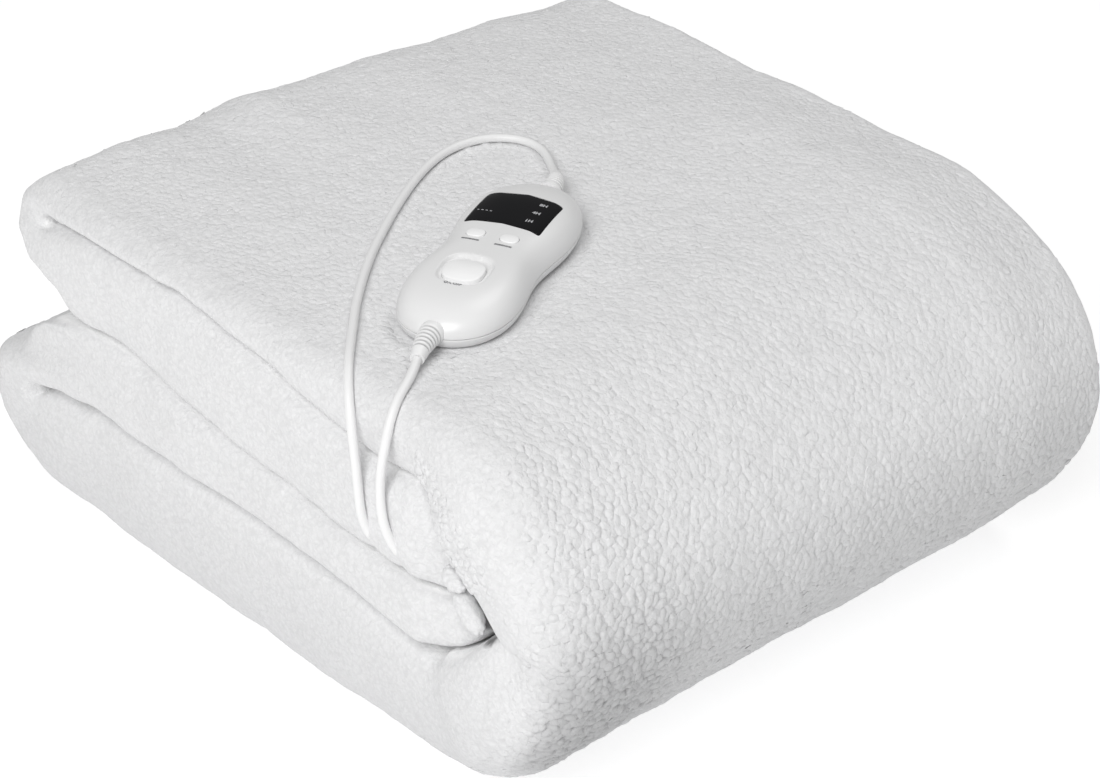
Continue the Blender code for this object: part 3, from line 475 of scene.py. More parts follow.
def led_route(start, start_way, route, end, end_way):
    """A route that leaves its first piece and meets its last one straight, touching neither."""
    first, last = start + start_way * (1.5 * GAP), end - end_way * (1.5 * GAP)
    step = 3.2 * CORD
    return [first, first + start_way * step, *route, last - end_way * step, last]


def level_ways(angle):
    """The level direction at an angle from +X, and the one a quarter turn further."""
    out = Vector((cos(angle), sin(angle), 0.0))
    return out, Vector((-out.y, out.x, 0.0))


def cord_paths():
    """Centre lines of the blanket's lead and of the mains lead with its coil, as fine points."""
    tail, head = relief_axes()
    tail_tip, tail_way = relief_arc(*tail, 1.0)
    head_tip, head_way = relief_arc(*head, 1.0)
    gland_way = (GLAND[1] - GLAND[0]).normalized()
    lead = smooth_route(led_route(head_tip, head_way, LEAD_ROUTE, GLAND[0], gland_way), CORD_STEP)
    coil = coil_path()
    way_in, way_out = level_ways(COIL_IN)[1], level_ways(COIL_OUT)[1]
    start, end = Vector(coil[0]) - way_in * COIL_LEAD, Vector(coil[-1]) + way_out * COIL_LEAD
    to_coil = led_route(tail_tip, tail_way, MAINS_ROUTE, start, way_in)
    plug_way = level_ways(PLUG_HEADING)[0]
    plug_end = PLUG_PLACE - plug_way * (PLUG_RELIEF + GAP)
    to_plug = led_route(end, way_out, TAIL_ROUTE, plug_end, plug_way)
    return lead, np.vstack([smooth_route(to_coil, CORD_STEP), coil,
                            smooth_route(to_plug, CORD_STEP)])


def cord_piece(name, path, material):
    """A round sheath: a curve of straight steps with a full round section and closed ends."""
    curve = bpy.data.curves.new(name, "CURVE")
    curve.dimensions = "3D"
    spline = curve.splines.new("POLY")
    spline.points.add(len(path) - 1)
    spline.points.foreach_set("co", np.column_stack([path, np.ones(len(path))]).ravel())
    curve.bevel_depth = 0.5 * CORD
    curve.bevel_resolution = 5
    curve.use_fill_caps = True
    curve.materials.append(material)
    return linked(name, curve)


# ---- Fleece ----

LOOP_X, EDGE_X = -0.197, 0.185
FRONT_Y, FRONT_TURN_DEPTH = -0.231, (0.074, 0.09)
LOW_BACK_Y, LOW_TURN_DEPTH = 0.2317, 0.03
HIGH_BACK_Y, HIGH_TURN_DEPTH = 0.2, 0.026
HEM_Y, HEM_ROUND, HEM_THIN = (-0.1725, -0.1815), 0.004, 0.45
LAYER_GAP, PLY_GAP, EDGE_ROUND, EDGE_WAVE = 0.0012, 0.0014, 0.4, 0.003
PLY = (0.0196, 0.0225)       # thickness of one ply inside the pack and where it shows
# Thickness of the doubled strip at the loops and at the free edges, and how far its loops lie in.
LAYERS = ((0.066, 0.0495, 0.004), (0.042, 0.048, 0.001), (0.052, 0.048, 0.0),
          (0.034, 0.05, 0.003))
# Thickness of the front, low back and high back turn, at the loops and at the free edges.
TURN_THICK = ((0.051, 0.05), (0.05, 0.046), (0.03, 0.044))
CORD_ROOM, CORD_ROOM_Y, CORD_ROOM_X = 0.0033, (-0.066, -0.03), (-0.186, -0.16)
HOLLOW_Y = (-0.136, -0.1862)     # where the front turn's hollow starts to narrow, and its tip
HOLLOW_DROP = 0.0042         # how far the tip lies under the valley of the two hems
PRESSED, FREE = 4.4, 2.15     # how square a fold's corner is: pressed on the next layer, or free
SWELL, SWELL_TOP, LEAN, DROOP, BACK_RISE = 0.019, 0.006, 0.034, 0.06, 0.03
# Steps of the grid along each stretch of the strip, and around the doubled strip's outline.
STRETCH_ROWS = (130, 40, 165, 140, 150, 46, 130)
COLUMNS = {"hidden_run": 12, "edge": 10, "inner_run": 9, "inner_loop": 6, "run": 170, "loop": 54}
FLEECE_TRIANGLES = 170000


def across(x):
    """0 at the loops, 1 at the free edges; the change is done by the middle."""
    return smooth((x - LOOP_X) / (0.62 * (EDGE_X - LOOP_X)))


def layer_thick(row, x):
    return blend(LAYERS[row][0], LAYERS[row][1], across(x))


def turn_thick(x):
    return [blend(*pair, across(x)) for pair in TURN_THICK]


def at_hems(q):
    return (q < 1.0) | (q > 6.0)


def layer_height(row, x):
    """Height of the middle of one run of the strip."""
    return (sum(layer_thick(k, x) + LAYER_GAP for k in range(row)) + 0.5 * layer_thick(row, x))


def turn(t, start_y, depth, from_z, to_z):
    """Half an ellipse that leaves start_y by depth and climbs or falls between two heights."""
    z = 0.5 * (from_z + to_z) + 0.5 * (from_z - to_z) * np.cos(pi * t)
    return start_y + depth * np.sin(pi * t), z


def strip_middle(q, x):
    """Middle line of the doubled strip at path place q, 0 to 7, and width place x.

    0-1 third layer from its hem to the back, 1-2 upper back turn, 2-3 top layer to the front,
    3-4 front turn, 4-5 bottom layer to the back, 5-6 lower back turn, 6-7 second layer to its hem.
    """
    bottom, second, third, top = (layer_height(row, x) for row in range(4))
    front_thick, low_thick, high_thick = turn_thick(x)
    depth = blend(*FRONT_TURN_DEPTH, across(x))
    front = FRONT_Y + 0.5 * front_thick + depth
    low = LOW_BACK_Y - 0.5 * low_thick - LOW_TURN_DEPTH
    high = HIGH_BACK_Y - 0.5 * high_thick - HIGH_TURN_DEPTH
    ones = np.ones_like(q * x)
    stretches = (
        (blend(HEM_Y[0], high, q), third),
        turn(q - 1.0, high, HIGH_TURN_DEPTH, third, top),
        (blend(high, front, q - 2.0), top),
        turn(q - 3.0, front, -depth, top, bottom),
        (blend(front, low, q - 4.0), bottom),
        turn(q - 5.0, low, LOW_TURN_DEPTH, bottom, second),
        (blend(low, HEM_Y[1], q - 6.0), second))
    within = [q * ones < k + 1.0 for k in range(7)]
    within[6] = ones > 0.0
    return (np.select(within, [stretch[0] * ones for stretch in stretches]),
            np.select(within, [stretch[1] * ones for stretch in stretches]))


def strip_lie(q, x):
    """The middle line's place and the direction of its positive side."""
    y, z = strip_middle(q, x)
    step = 0.004
    y_ahead, z_ahead = strip_middle(np.minimum(q + step, 7.0), x)
    y_behind, z_behind = strip_middle(np.maximum(q - step, 0.0), x)
    z_ahead = np.where((q < 0.8) | (q > 6.2), z_behind, z_ahead)
    length = np.hypot(y_ahead - y_behind, z_ahead - z_behind)
    return y, z, (z_behind - z_ahead) / length, (y_ahead - y_behind) / length


def along_strip(q, x, keys):
    """A value that changes smoothly from key to key (path place, value) along the strip."""
    value = keys[0][1] * np.ones_like(q * x)
    for (start, _), (end, target) in zip(keys, keys[1:]):
        value = np.where(q >= start, blend(value, target, ramp(q, start, end)), value)
    return value


def strip_thick(q, x):
    """Thickness of the doubled strip, from run to turn to run."""
    bottom, second, third, top = (layer_thick(row, x) for row in range(4))
    front, low, high = turn_thick(x)
    keys = ((0.0, third), (0.9, third), (1.5, high), (2.1, top), (2.75, top), (3.5, front),
            (4.15, bottom), (4.9, bottom), (5.5, low), (6.05, second), (7.0, second))
    return along_strip(q, x, keys)


def loop_place(q):
    """Where the outside of the long fold's loop lies."""
    bottom, second, third, top = (LOOP_X + row[2] for row in LAYERS)
    keys = ((0.0, third), (1.0, third), (2.0, top), (3.0, top), (4.0, bottom), (5.0, bottom),
            (6.0, second), (7.0, second))
    return along_strip(q, q, keys)


def cord_room(q, x, y):
    """What the second and third layers give up to the cords inside, on their facing sides."""
    inside = fall(y, *CORD_ROOM_Y) * ramp(x, *CORD_ROOM_X)
    return CORD_ROOM * inside * at_hems(q)


def hollow(x):
    """Heights in the front turn's hollow: its roof and floor where it starts, and its tip."""
    bottom, second, _, top = (layer_height(row, x) for row in range(4))
    tip = second + 0.5 * layer_thick(1, x) - HOLLOW_DROP
    return top - 0.5 * layer_thick(3, x), bottom + 0.5 * layer_thick(0, x), tip


def hollow_fill(q, x, y, z, way_y, way_z, half):
    """How much thicker the front turn is on its inner side, where it fills its hollow to a wedge:
    the way from its middle line to the wedge's roof or floor."""
    roof, floor, tip = hollow(x)
    over_tip = (HOLLOW_Y[1] - y) * way_z - (tip - z) * way_y > 0.0
    start_z = np.where(over_tip, roof, floor)
    run_y, run_z = HOLLOW_Y[1] - HOLLOW_Y[0], tip - start_z
    facing = way_y * run_z - way_z * run_y
    facing = np.where(np.abs(facing) < 1e-6, 1e-6, facing)
    reach = ((HOLLOW_Y[0] - y) * run_z - (start_z - z) * run_y) / facing
    return np.clip(reach - half, -0.01, 0.03) * hill(q, 3.02, 3.2, 3.8, 3.98)


def hem_squeeze(q, x, y):
    """How far the wedge of the hollow presses the two hems in: its roof the third layer's, its
    floor the second's."""
    roof, floor, tip = hollow(x)
    inward = np.clip((HOLLOW_Y[0] - y) / (HOLLOW_Y[0] - HOLLOW_Y[1]), 0.0, 1.0)
    most = np.where(q < 1.0, layer_thick(2, x), layer_thick(1, x)) - 0.006
    pressed = np.where(q < 1.0, roof - tip, tip - floor) * inward
    return np.clip(pressed, 0.0, most) * at_hems(q)


def hem_fullness(q, y):
    """1 along the strip, falling to HEM_THIN in a quarter circle at its two hems."""
    hem = np.where(q < 1.0, HEM_Y[0], HEM_Y[1])
    inward = np.clip((y - hem) / HEM_ROUND, 0.0, 1.0)
    round_end = np.sqrt(1.0 - (1.0 - inward) ** 2)
    return np.where(at_hems(q), blend(HEM_THIN, 1.0, round_end), 1.0)


def slump(x, y, z):
    """The pack's slump as one smooth warp: the second layer swells at the back of the loop side,
    the upper packet leans out over the lower one, and the free edges droop."""
    back = ramp(y, -0.12, 0.16)
    low_end = 1.0 - 0.75 * ramp(y, 0.15, 0.225) * fall(z, 0.105, 0.116)
    swell = ramp(z, 0.068, 0.108) * SWELL + ramp(z, 0.158, 0.195) * (SWELL_TOP - SWELL)
    swell = swell * back * low_end * fall(x, -0.12, 0.2)
    under = hill(z, 0.1, 0.112, 0.115, 0.185)
    lean = LEAN * under * ramp(y, 0.08, 0.18) * fall(x, -0.1, 0.12)
    rear = ramp(y, -0.1, 0.12)
    droop = DROOP * ramp(x, 0.12, 0.2)
    rise = BACK_RISE * rear * ramp(x, -0.1, 0.1)
    points = np.stack([x, (y - lean) * (1.0 - 0.5 * droop),
                       (z + swell) * (1.0 - droop * (1.0 - rear) + rise)], axis=-1)
    return points + settled(*np.moveaxis(points, -1, 0))


# Lift of the looped side's three creases, lowest first: along y, and how much at each.
CREASE_LIFT = (
    ((-0.19, -0.167, -0.149, -0.136, -0.09, -0.03, 0.12, 0.17, 0.22),
     (-0.002, -0.006, 0.003, 0.009, 0.0142, 0.0185, 0.0185, 0.012, 0.0)),
    ((-0.2, -0.18, -0.16, -0.15, -0.07, 0.03, 0.1, 0.15, 0.2),
     (0.0, 0.004, 0.003, 0.001, 0.002, 0.007, 0.008, 0.004, -0.004)),
    ((-0.2, -0.18, -0.149, -0.128, -0.11, -0.075, -0.04, 0.04, 0.12, 0.18),
     (0.0, 0.004, 0.0055, 0.003, 0.001, 0.004, 0.0087, 0.0145, 0.011, 0.0)))
BACK_EDGE_X = (-0.16, -0.13, -0.085, -0.05, -0.007, 0.03, 0.079, 0.12, 0.161, 0.19)
BACK_EDGE_Z = (0.0, 0.0013, -0.0021, 0.0038, -0.0003, 0.0003, -0.0041, -0.0021, -0.003, 0.0)


def crease_lift(y, z):
    """How far the looped side's creases stand over the run's own borders, blended between them."""
    low, middle, high = (np.interp(y, *row) for row in CREASE_LIFT)
    valley = 0.112 + 0.016 * ramp(y, -0.12, 0.16)
    lift = blend(low * ramp(z, 0.0, 0.064), middle, ramp(z, 0.069, valley))
    return blend(lift, high, ramp(z, valley, 0.166)) * fall(z, 0.17, 0.203)


def settled(x, y, z):
    """Small shifts of the whole pile: its creases waver on the looped side, its right shoulder
    stands up, its front right foot is drawn in, its back edge dips and rises, and at the back left
    its layers stand out and in by turns: the shoulder, the belly over it and the brow on top."""
    places = np.stack([0.6 * x, y, z], axis=-1).reshape(-1, 3)

    def drift(size, seed):
        return drifts(places, size, seed).reshape(x.shape)

    looped = fall(x, -0.17, -0.05) * hill(z, 0.01, 0.05, 0.16, 0.195) * ramp(y, -0.08, -0.03)
    up = looped * (0.0013 * drift(0.036, 61) + 0.0008 * drift(0.013, 62))
    up += crease_lift(y, z) * fall(x, -0.18, -0.105)
    high, right = ramp(z, 0.1, 0.19), ramp(x, 0.05, 0.18)
    up += 0.005 * right * hill(y, -0.16, -0.1, -0.05, 0.03) * high
    up -= 0.003 * right * ramp(y, -0.01, 0.05) * high
    lower = hill(z, 0.08, 0.11, 0.118, 0.125)
    up -= 0.005 * lower * ramp(y, 0.165, 0.215)
    up += np.interp(x, BACK_EDGE_X, BACK_EDGE_Z) * ramp(y, 0.06, 0.19) * high
    out = 0.0016 * drift(0.042, 63) * fall(x, -0.19, -0.15)
    out += 0.003 * fall(z, 0.01, 0.06) * fall(x, -0.19, -0.13)
    out -= 0.0065 * right * fall(z, 0.02, 0.1) * fall(y, -0.13, -0.05)
    along = -0.01 * ramp(y, 0.185, 0.232) * lower
    along -= 0.008 * ramp(y, 0.165, 0.198) * ramp(z, 0.165, 0.198) * fall(x, -0.17, -0.1)
    along += 0.0026 * fall(y, -0.225, -0.17) * fall(z, 0.03, 0.1)
    back_left = ramp(y, 0.09, 0.19) * fall(x, -0.185, -0.12)
    shoulder = hill(z, 0.078, 0.1, 0.116, 0.124) * back_left
    belly = hill(z, 0.124, 0.134, 0.155, 0.172) * back_left
    brow = ramp(z, 0.17, 0.186) * back_left
    out += 0.0065 * shoulder - 0.0035 * belly + 0.004 * brow
    along += -0.004 * shoulder + 0.002 * belly - 0.002 * brow
    return np.stack([out, along, up], axis=-1) * ramp(z, 0.0, 0.012)[..., None] ** [0.0, 0.0, 1.0]


def path_places():
    """Path places of the grid's rows, with a few more at the two hems."""
    places = [k + np.arange(count) / count for k, count in enumerate(STRETCH_ROWS)]
    return np.unique(np.concatenate(places + [[0.0003, 0.003, 6.997, 6.9997, 7.0]]))[:, None]


def fleece_grid():
    """The doubled strip's hairpin outline carried along its back-and-forth path: points, how much
    each shows, from the outline's own outer run and from the pack's two open sides, and a mask
    near the looped side's creases, where the fleece gets painted light."""
    q = path_places()
    loop_x = loop_place(q)

    def side(x):
        """Reach of a ply's outer and inner face from the middle line, and the strip's offset."""
        y, z, way_y, way_z = strip_lie(q, x)
        thick = strip_thick(q, x)
        room, pressed = cord_room(q, x, y), hem_squeeze(q, x, y)
        fill = hollow_fill(q, x, y, z, way_y, way_z, 0.5 * thick)
        half = 0.5 * (thick - room - pressed + fill)
        ply = np.minimum(blend(*PLY, ramp(np.abs(x), 0.1, 0.17)), half - 0.5 * PLY_GAP)
        thin = 0.5 * ply * (1.0 - hem_fullness(q, y))
        return half - thin, half - ply + thin, 0.5 * (room - pressed + fill)

    outer_reach, inner_reach, loop_middle = side(loop_x)
    keys = ((0.0, PRESSED), (0.98, PRESSED), (1.12, FREE), (5.86, FREE), (6.02, PRESSED))
    corner = along_strip(q, q, keys)
    run_start = loop_x + 0.5 * strip_thick(q, loop_x)
    upper_edge, lower_edge = (EDGE_X + EDGE_WAVE * np.sin(rate * q + phase)
                              for rate, phase in ((1.7, 0.0), (2.3, 1.0)))

    def run(x_end, sign, inner, outward, count):
        steps = np.linspace(0.0, 1.0, count + 1)[::1 if outward else -1]
        x = blend(run_start, x_end, steps[None, :])
        outer_face, inner_face, middle = side(x)
        return x, middle + sign * (inner_face if inner else outer_face)

    def edge(x_end, sign, outward):
        """Round end of one ply, between its outer and its inner face."""
        angle = np.linspace(0.0, pi, COLUMNS["edge"] + 1)[None, 1:-1][:, ::1 if outward else -1]
        outer_face, inner_face, middle = side(np.broadcast_to(x_end, q.shape))
        ply = outer_face - inner_face
        return (x_end + EDGE_ROUND * ply * np.sin(angle),
                middle + sign * (inner_face + 0.5 * ply * (1.0 + np.cos(angle))))

    def loop(reach, count, lower_power=2.0, upper_power=2.0):
        angle = np.linspace(0.0, pi, count + 1)[None, 1:-1]
        power = np.where(np.cos(angle) < 0.0, lower_power, upper_power)
        out, up = np.sin(angle) ** (2.0 / power), np.abs(np.cos(angle)) ** (2.0 / power)
        return run_start - reach * out, loop_middle + reach * np.sign(np.cos(angle)) * up

    outer_loop = [values[:, ::-1] for values in
                  loop(outer_reach, COLUMNS["loop"], corner, PRESSED)]
    pieces = {"side": run(upper_edge, 1.0, False, True, COLUMNS["hidden_run"]),
              "edge": edge(upper_edge, 1.0, True),
              "inside": run(upper_edge, 1.0, True, False, COLUMNS["inner_run"]),
              "inside loop": loop(inner_reach, COLUMNS["inner_loop"]),
              "inside back": run(lower_edge, -1.0, True, True, COLUMNS["inner_run"]),
              "edge back": edge(lower_edge, -1.0, False),
              "outer": run(lower_edge, -1.0, False, False, COLUMNS["run"]),
              "loop": outer_loop}
    x, n = (np.concatenate([piece[k] for piece in pieces.values()], axis=1) for k in (0, 1))
    kind = np.concatenate([np.full(piece[0].shape[1], name) for name, piece in pieces.items()])
    y, z, way_y, way_z = strip_lie(q, x)
    points = slump(x, y + n * way_y, z + n * way_z)

    open_side = np.maximum(fall(x, -0.182, -0.164), ramp(x, 0.17, 0.184))
    outside = hill(q, 0.95, 1.25, 5.85, 6.05) * (kind == "outer")
    visible = ~np.char.startswith(kind, "inside")
    reach = (n - loop_middle) / outer_reach
    pressed_on = (reach > 0.0) | (corner > 0.5 * (PRESSED + FREE))
    # Painted light: a mask along the fold edges at the looped side's creases, painted whiter.
    painted_crease_light = ramp(np.abs(reach), 0.912, 0.98) * pressed_on * fall(x, -0.178, -0.15)
    return points, np.maximum(open_side, outside) * visible, painted_crease_light * visible


def grid_normals(points):
    """Outward normals of a grid that goes around: the cross product of its two directions."""
    across_grid = np.roll(points, -1, axis=1) - np.roll(points, 1, axis=1)
    normal = np.cross(across_grid, np.gradient(points, axis=0))
    return normal / np.maximum(norm(normal, axis=-1, keepdims=True), 1e-12)


def controller_half_width(u):
    """Half width of the waisted outline at u: a superellipse with a narrowing round its waist."""
    share = np.clip(np.abs(u) / CONTROLLER_HALF, 0.0, 1.0)
    power = np.where(u > 0.0, 3.8, 4.7)
    waist = 0.158 * np.exp(-((u + 0.0052) / 0.0246) ** 2)
    return CONTROLLER_WIDE * np.sqrt(1.0 - share ** power) * (1.0 - waist)


def distance_to_path(points, path):
    """Distance from each point to the nearest of a path's points, with that point's index."""
    nearest = np.full(len(points), 9.0)
    index = np.zeros(len(points), int)
    for k, place in enumerate(path):
        distance = norm(points - place, axis=1)
        index = np.where(distance < nearest, k, index)
        nearest = np.minimum(nearest, distance)
    return nearest, index


def controller_distance(points):
    """How far inside the controller's outline points lie, seen from over it; less than 0 outside."""
    inverse = np.array(CONTROLLER_MATRIX.inverted())
    local = points @ inverse[:3, :3].T + inverse[:3, 3]
    wide = controller_half_width(local[:, 0])
    return np.minimum(CONTROLLER_HALF - np.abs(local[:, 0]), wide - np.abs(local[:, 1]))


def cloth_height(points, shown):
    """Slow unevenness of the cloth, pressed flat under the controller and hollow round it."""
    height = sum(tall * drifts(points, size, seed)
                 for tall, size, seed in ((0.0009, 0.03, 3), (0.0004, 0.011, 4), (0.00025, 0.005, 5)))
    inside = controller_distance(points)
    on_top = ramp(points[:, 2], 0.185, 0.193)
    pressed = ramp(inside, -0.007, -0.001) * on_top
    groove = 0.0011 * np.exp(-((inside + 0.0022) / 0.0028) ** 2) * on_top
    return (height * (1.0 - pressed) - 0.0002 * pressed - groove) * shown


def curl_share(points):
    """How full the curls stand: none on the looped side, where the pile is combed flat, and fullest
    beside it on the front turn."""
    x, y, z = points.T
    low_front = fall(y, -0.215, -0.16)
    start, end = blend(-0.193, -0.2, low_front), blend(-0.16, -0.156, fall(y, -0.16, -0.06))
    fuller = (1.0 + 1.2 * low_front * fall(x, -0.155, -0.08)) * (1.0 - 0.35 * ramp(z, 0.08, 0.16))
    return fuller * ramp(x, start, blend(end, -0.188, low_front))


def pile_and_painted_shade(points):
    """The pile value that picks the fleece's colour: 0 where it is combed flat, 1 among the curls, up
    to 2 low on the front turn beside the looped side, for painted shade there, and 3 inside the
    small mouth where the two meet, painted dark there as shade."""
    x, y, z = points.T
    # Painted shade low on the front turn, beside the looped side.
    low_front = fall(y, -0.212, -0.18) * (1.0 - 0.4 * ramp(x, -0.15, -0.08))
    low_front *= ramp(x, -0.196, -0.18) * fall(z, 0.075, 0.15)
    # Painted shade inside the small mouth, dark as a hollow in shadow.
    mouth = ramp(x, -0.1955, -0.189) * hill(y, -0.189, -0.1855, -0.17, -0.16)
    mouth *= hill(z, 0.0965, 0.1015, 0.122, 0.13)
    return np.maximum(np.minimum(1.5 * curl_share(points), 1.0) + low_front, 2.9 * mouth)


# Tongues of fleece where the two packets meet: name, middle, lean back in degrees, half sizes.
TUFTS = (("tongue", (-0.1906, -0.1716, 0.1142), 42.0, (0.0125, 0.0056, 0.006)),
         ("tuft", (-0.1936, -0.1652, 0.129), 60.0, (0.0072, 0.0052, 0.005)))


def build_fleece(lead, mains):
    points, shown, painted_crease_light = fleece_grid()
    flat, shown = points.reshape(-1, 3), shown.ravel()
    height = np.zeros(len(flat))
    seen = shown > 0.0
    height[seen] = cloth_height(flat[seen], shown[seen])
    height *= ramp(flat[:, 2], 0.0, 0.004)
    moved = flat + grid_normals(points).reshape(-1, 3) * height[:, None]
    for path in (lead, mains):
        clear_cord(moved, flat, path)
    moved[:, 2] = np.where(flat[:, 2] < 0.0004, 0.0, np.maximum(moved[:, 2], 0.0))
    moved = moved.reshape(points.shape)
    material = fleece_finish()
    # The pile values carry painted shade, and less the creases' mask, painted light.
    piece = grid_piece("fleece", moved, material, caps=(0, -1),
                       values=pile_and_painted_shade(flat) * shown - painted_crease_light.ravel())
    thin = piece.modifiers.new("thin", "DECIMATE")
    thin.ratio = FLEECE_TRIANGLES / sum(len(face.vertices) - 2 for face in piece.data.polygons)
    apply_steps(piece)
    settle_piece(piece, ROOT, "fleece", "blanket")
    curls = build_curls(moved, grid_normals(moved), lead, mains, material)
    curls.extend(build_tuft(*tuft, material) for tuft in TUFTS)


def build_tuft(name, middle, lean, half, material):
    """A small tongue of fleece: an egg, clumped, whose long way leans back by an angle."""
    lean, up = radians(lean), np.linspace(0.03, pi - 0.03, 30)
    along, out = np.array([0.0, sin(lean), cos(lean)]), np.array([-1.0, 0.0, 0.0])
    places = ring_points(np.outer(half[0] * np.cos(up), along), out, np.cross(along, out),
                         np.outer(np.sin(up), half[1:]), 36)
    flat = places.reshape(-1, 3)
    lump = 0.0007 * drifts(flat, 0.007, 71) + 0.0008 * (clumps(flat, 0.0034, 72) - 0.5)
    lump += 0.0003 * drifts(flat, 0.0022, 73)
    outward = flat / norm(flat, axis=1, keepdims=True)
    flat = np.array(middle) + flat + outward * lump[:, None]
    return capped(name, flat.reshape(places.shape), material, "fleece", sharp=None,
                  values=np.zeros(len(flat)))


# Rows of curls: name, path places from and to, spacing, height, radius as a share of the spacing.
CURL_FIELDS = (
    ("curls_back", 1.05, 2.02, 0.0044, 0.00052, 0.78),
    ("curls_top_back", 2.02, 2.52, 0.0037, 0.0005, 0.78),
    ("curls_top_front", 2.52, 3.1, 0.0039, 0.0005, 0.78),
    ("curls_front", 3.1, 4.02, 0.0043, 0.00068, 0.78),
    ("curls_low_back", 5.03, 5.95, 0.0046, 0.00056, 0.78),
    ("curls_mouth", 3.04, 3.38, 0.004, 0.0011, 0.76),
)
MOUTH_COLUMNS = slice(-27, -14)
CURL_SIDES = 7
# Where curls are left out: less full than this, nearer the floor, and nearer a cord.
LEAST_FULL, OVER_FLOOR, FROM_CORD = 0.1, 0.0085, 0.004
CURL_RINGS = ((0.68, 0.66), (1.0, -0.08))      # radius and height of a curl's two rings


def build_curls(cloth, normals, lead, mains, material):
    first = sum(COLUMNS[name] * times for name, times in
                (("hidden_run", 1), ("edge", 2), ("inner_run", 2), ("inner_loop", 1)))
    outer_columns = slice(first, first + COLUMNS["run"] + 1 + COLUMNS["loop"] // 2)
    rows = path_places()[:, 0]
    curls = []
    for seed, (name, start, end, spacing, height, wide) in enumerate(CURL_FIELDS):
        span = np.flatnonzero((rows >= start) & (rows <= end))
        mouth = name == "curls_mouth"
        cut = (slice(span[0], span[-1] + 1), MOUTH_COLUMNS if mouth else outer_columns)
        places, ups, sides = scattered(cloth[cut], normals[cut], spacing, seed)
        full = np.ones(len(places)) if mouth else curl_share(places)
        near_cord = np.minimum(*(distance_to_path(places, path)[0] for path in (lead, mains)))
        x, y, z = places.T
        keep = (full > LEAST_FULL) & (z > OVER_FLOOR) & (near_cord > FROM_CORD)
        keep &= ~((controller_distance(places) > -0.0012) & (z > 0.185))
        keep &= (y < 0.12) | (z < 0.085) | (z > 0.135)
        keep &= (x > -0.172) | (y < 0.15)
        curls.append(curl_mesh(name, places[keep], ups[keep], sides[keep], spacing * wide,
                               height * full[keep], seed, material))
    return curls


def scattered(cloth, normals, spacing, seed):
    """Jittered staggered places over a patch of the cloth's grid, with normals and directions."""
    along = norm(np.diff(cloth, axis=0), axis=2).mean(axis=1)
    along = np.concatenate([[0.0], np.cumsum(along)])
    middle = norm(np.diff(cloth, axis=1), axis=2)[len(cloth) // 2]
    share = np.concatenate([[0.0], np.cumsum(middle)])
    count_rows, count = int(along[-1] / (0.87 * spacing)), int(share[-1] / spacing)
    row, column = np.divmod(np.arange(count_rows * count), count)
    cells = np.column_stack([row, column, np.full(len(row), seed)])
    jitter = cell_random(cells, 21) - 0.5
    row = (row + 0.5 + 0.62 * jitter[:, 0]) / count_rows * along[-1]
    column = (column + 0.25 + 0.5 * (cells[:, 0] % 2) + 0.62 * jitter[:, 1]) / count * share[-1]
    row = np.interp(row, along, np.arange(len(along)))
    column = np.interp(column, share, np.arange(len(share)))
    low = np.minimum(row.astype(int), len(along) - 2)
    left = np.minimum(column.astype(int), len(share) - 2)
    row_part, column_part = (row - low)[:, None], (column - left)[:, None]

    def at(values):
        near, far = (blend(values[here, left], values[here, left + 1], column_part)
                     for here in (low, low + 1))
        return blend(near, far, row_part)

    ups = at(normals)
    ups /= norm(ups, axis=1, keepdims=True)
    sides = cloth[low, left + 1] - cloth[low, left]
    sides -= ups * np.sum(sides * ups, axis=1, keepdims=True)
    sides /= np.maximum(norm(sides, axis=1, keepdims=True), 1e-9)
    return at(cloth), ups, sides


def curl_mesh(name, places, ups, sides, radius, heights, seed, material):
    """Closed little domes, each of two uneven rings, a top and a foot, leaning a little."""
    count = len(places)
    number = np.column_stack([np.arange(count)] * 3)
    size, lean, wave = (cell_random(number, 31 + 7 * seed + k) for k in range(3))
    thwart = np.cross(ups, sides)
    angle = np.linspace(0.0, 2.0 * pi, CURL_SIDES, endpoint=False)[None, :]
    swell = 1.0 + 0.24 * np.cos(2.0 * angle + 6.3 * wave[:, :1])
    swell += 0.1 * np.cos(3.0 * angle + 6.3 * wave[:, 1:2])
    reach = radius * (0.8 + 0.42 * size[:, :1]) * swell
    tall = heights * (0.65 + 0.75 * size[:, 1])
    tip = places + ups * tall[:, None]
    tip += (sides * (lean[:, :1] - 0.5) + thwart * (lean[:, 1:2] - 0.5)) * (0.7 * radius)
    vertices = [tip[:, None, :]]
    for wide, high in CURL_RINGS:
        middle = blend(places, tip, max(high, 0.0)) + ups * (min(high, 0.0) * 0.002)
        ring = middle[:, None, :] + sides[:, None, :] * (wide * reach * np.cos(angle))[:, :, None]
        vertices.append(ring + thwart[:, None, :] * (wide * reach * np.sin(angle))[:, :, None])
    vertices.append((places - ups * 0.001)[:, None, :])
    vertices = np.concatenate(vertices, axis=1)
    each = vertices.shape[1]
    upper = 1 + np.arange(CURL_SIDES)
    upper_next, lower = np.roll(upper, -1), upper + CURL_SIDES
    lower_next = upper_next + CURL_SIDES
    tips, feet = np.zeros_like(upper), np.full_like(upper, each - 1)
    faces = np.concatenate([
        np.column_stack(corners) for corners in (
            (tips, upper, upper_next), (upper, lower, lower_next),
            (upper, lower_next, upper_next), (lower, feet, lower_next))])
    faces = (faces[None] + each * np.arange(count)[:, None, None]).reshape(-1, 3)
    # The curls carry the same pile values, with the painted shade among them.
    mesh = new_mesh(name, vertices, faces.tolist(), np.repeat(pile_and_painted_shade(places), each))
    piece = add_piece(name, mesh, material, recalculate=False, sharp=60)
    return settle_piece(piece, ROOT, "fleece")


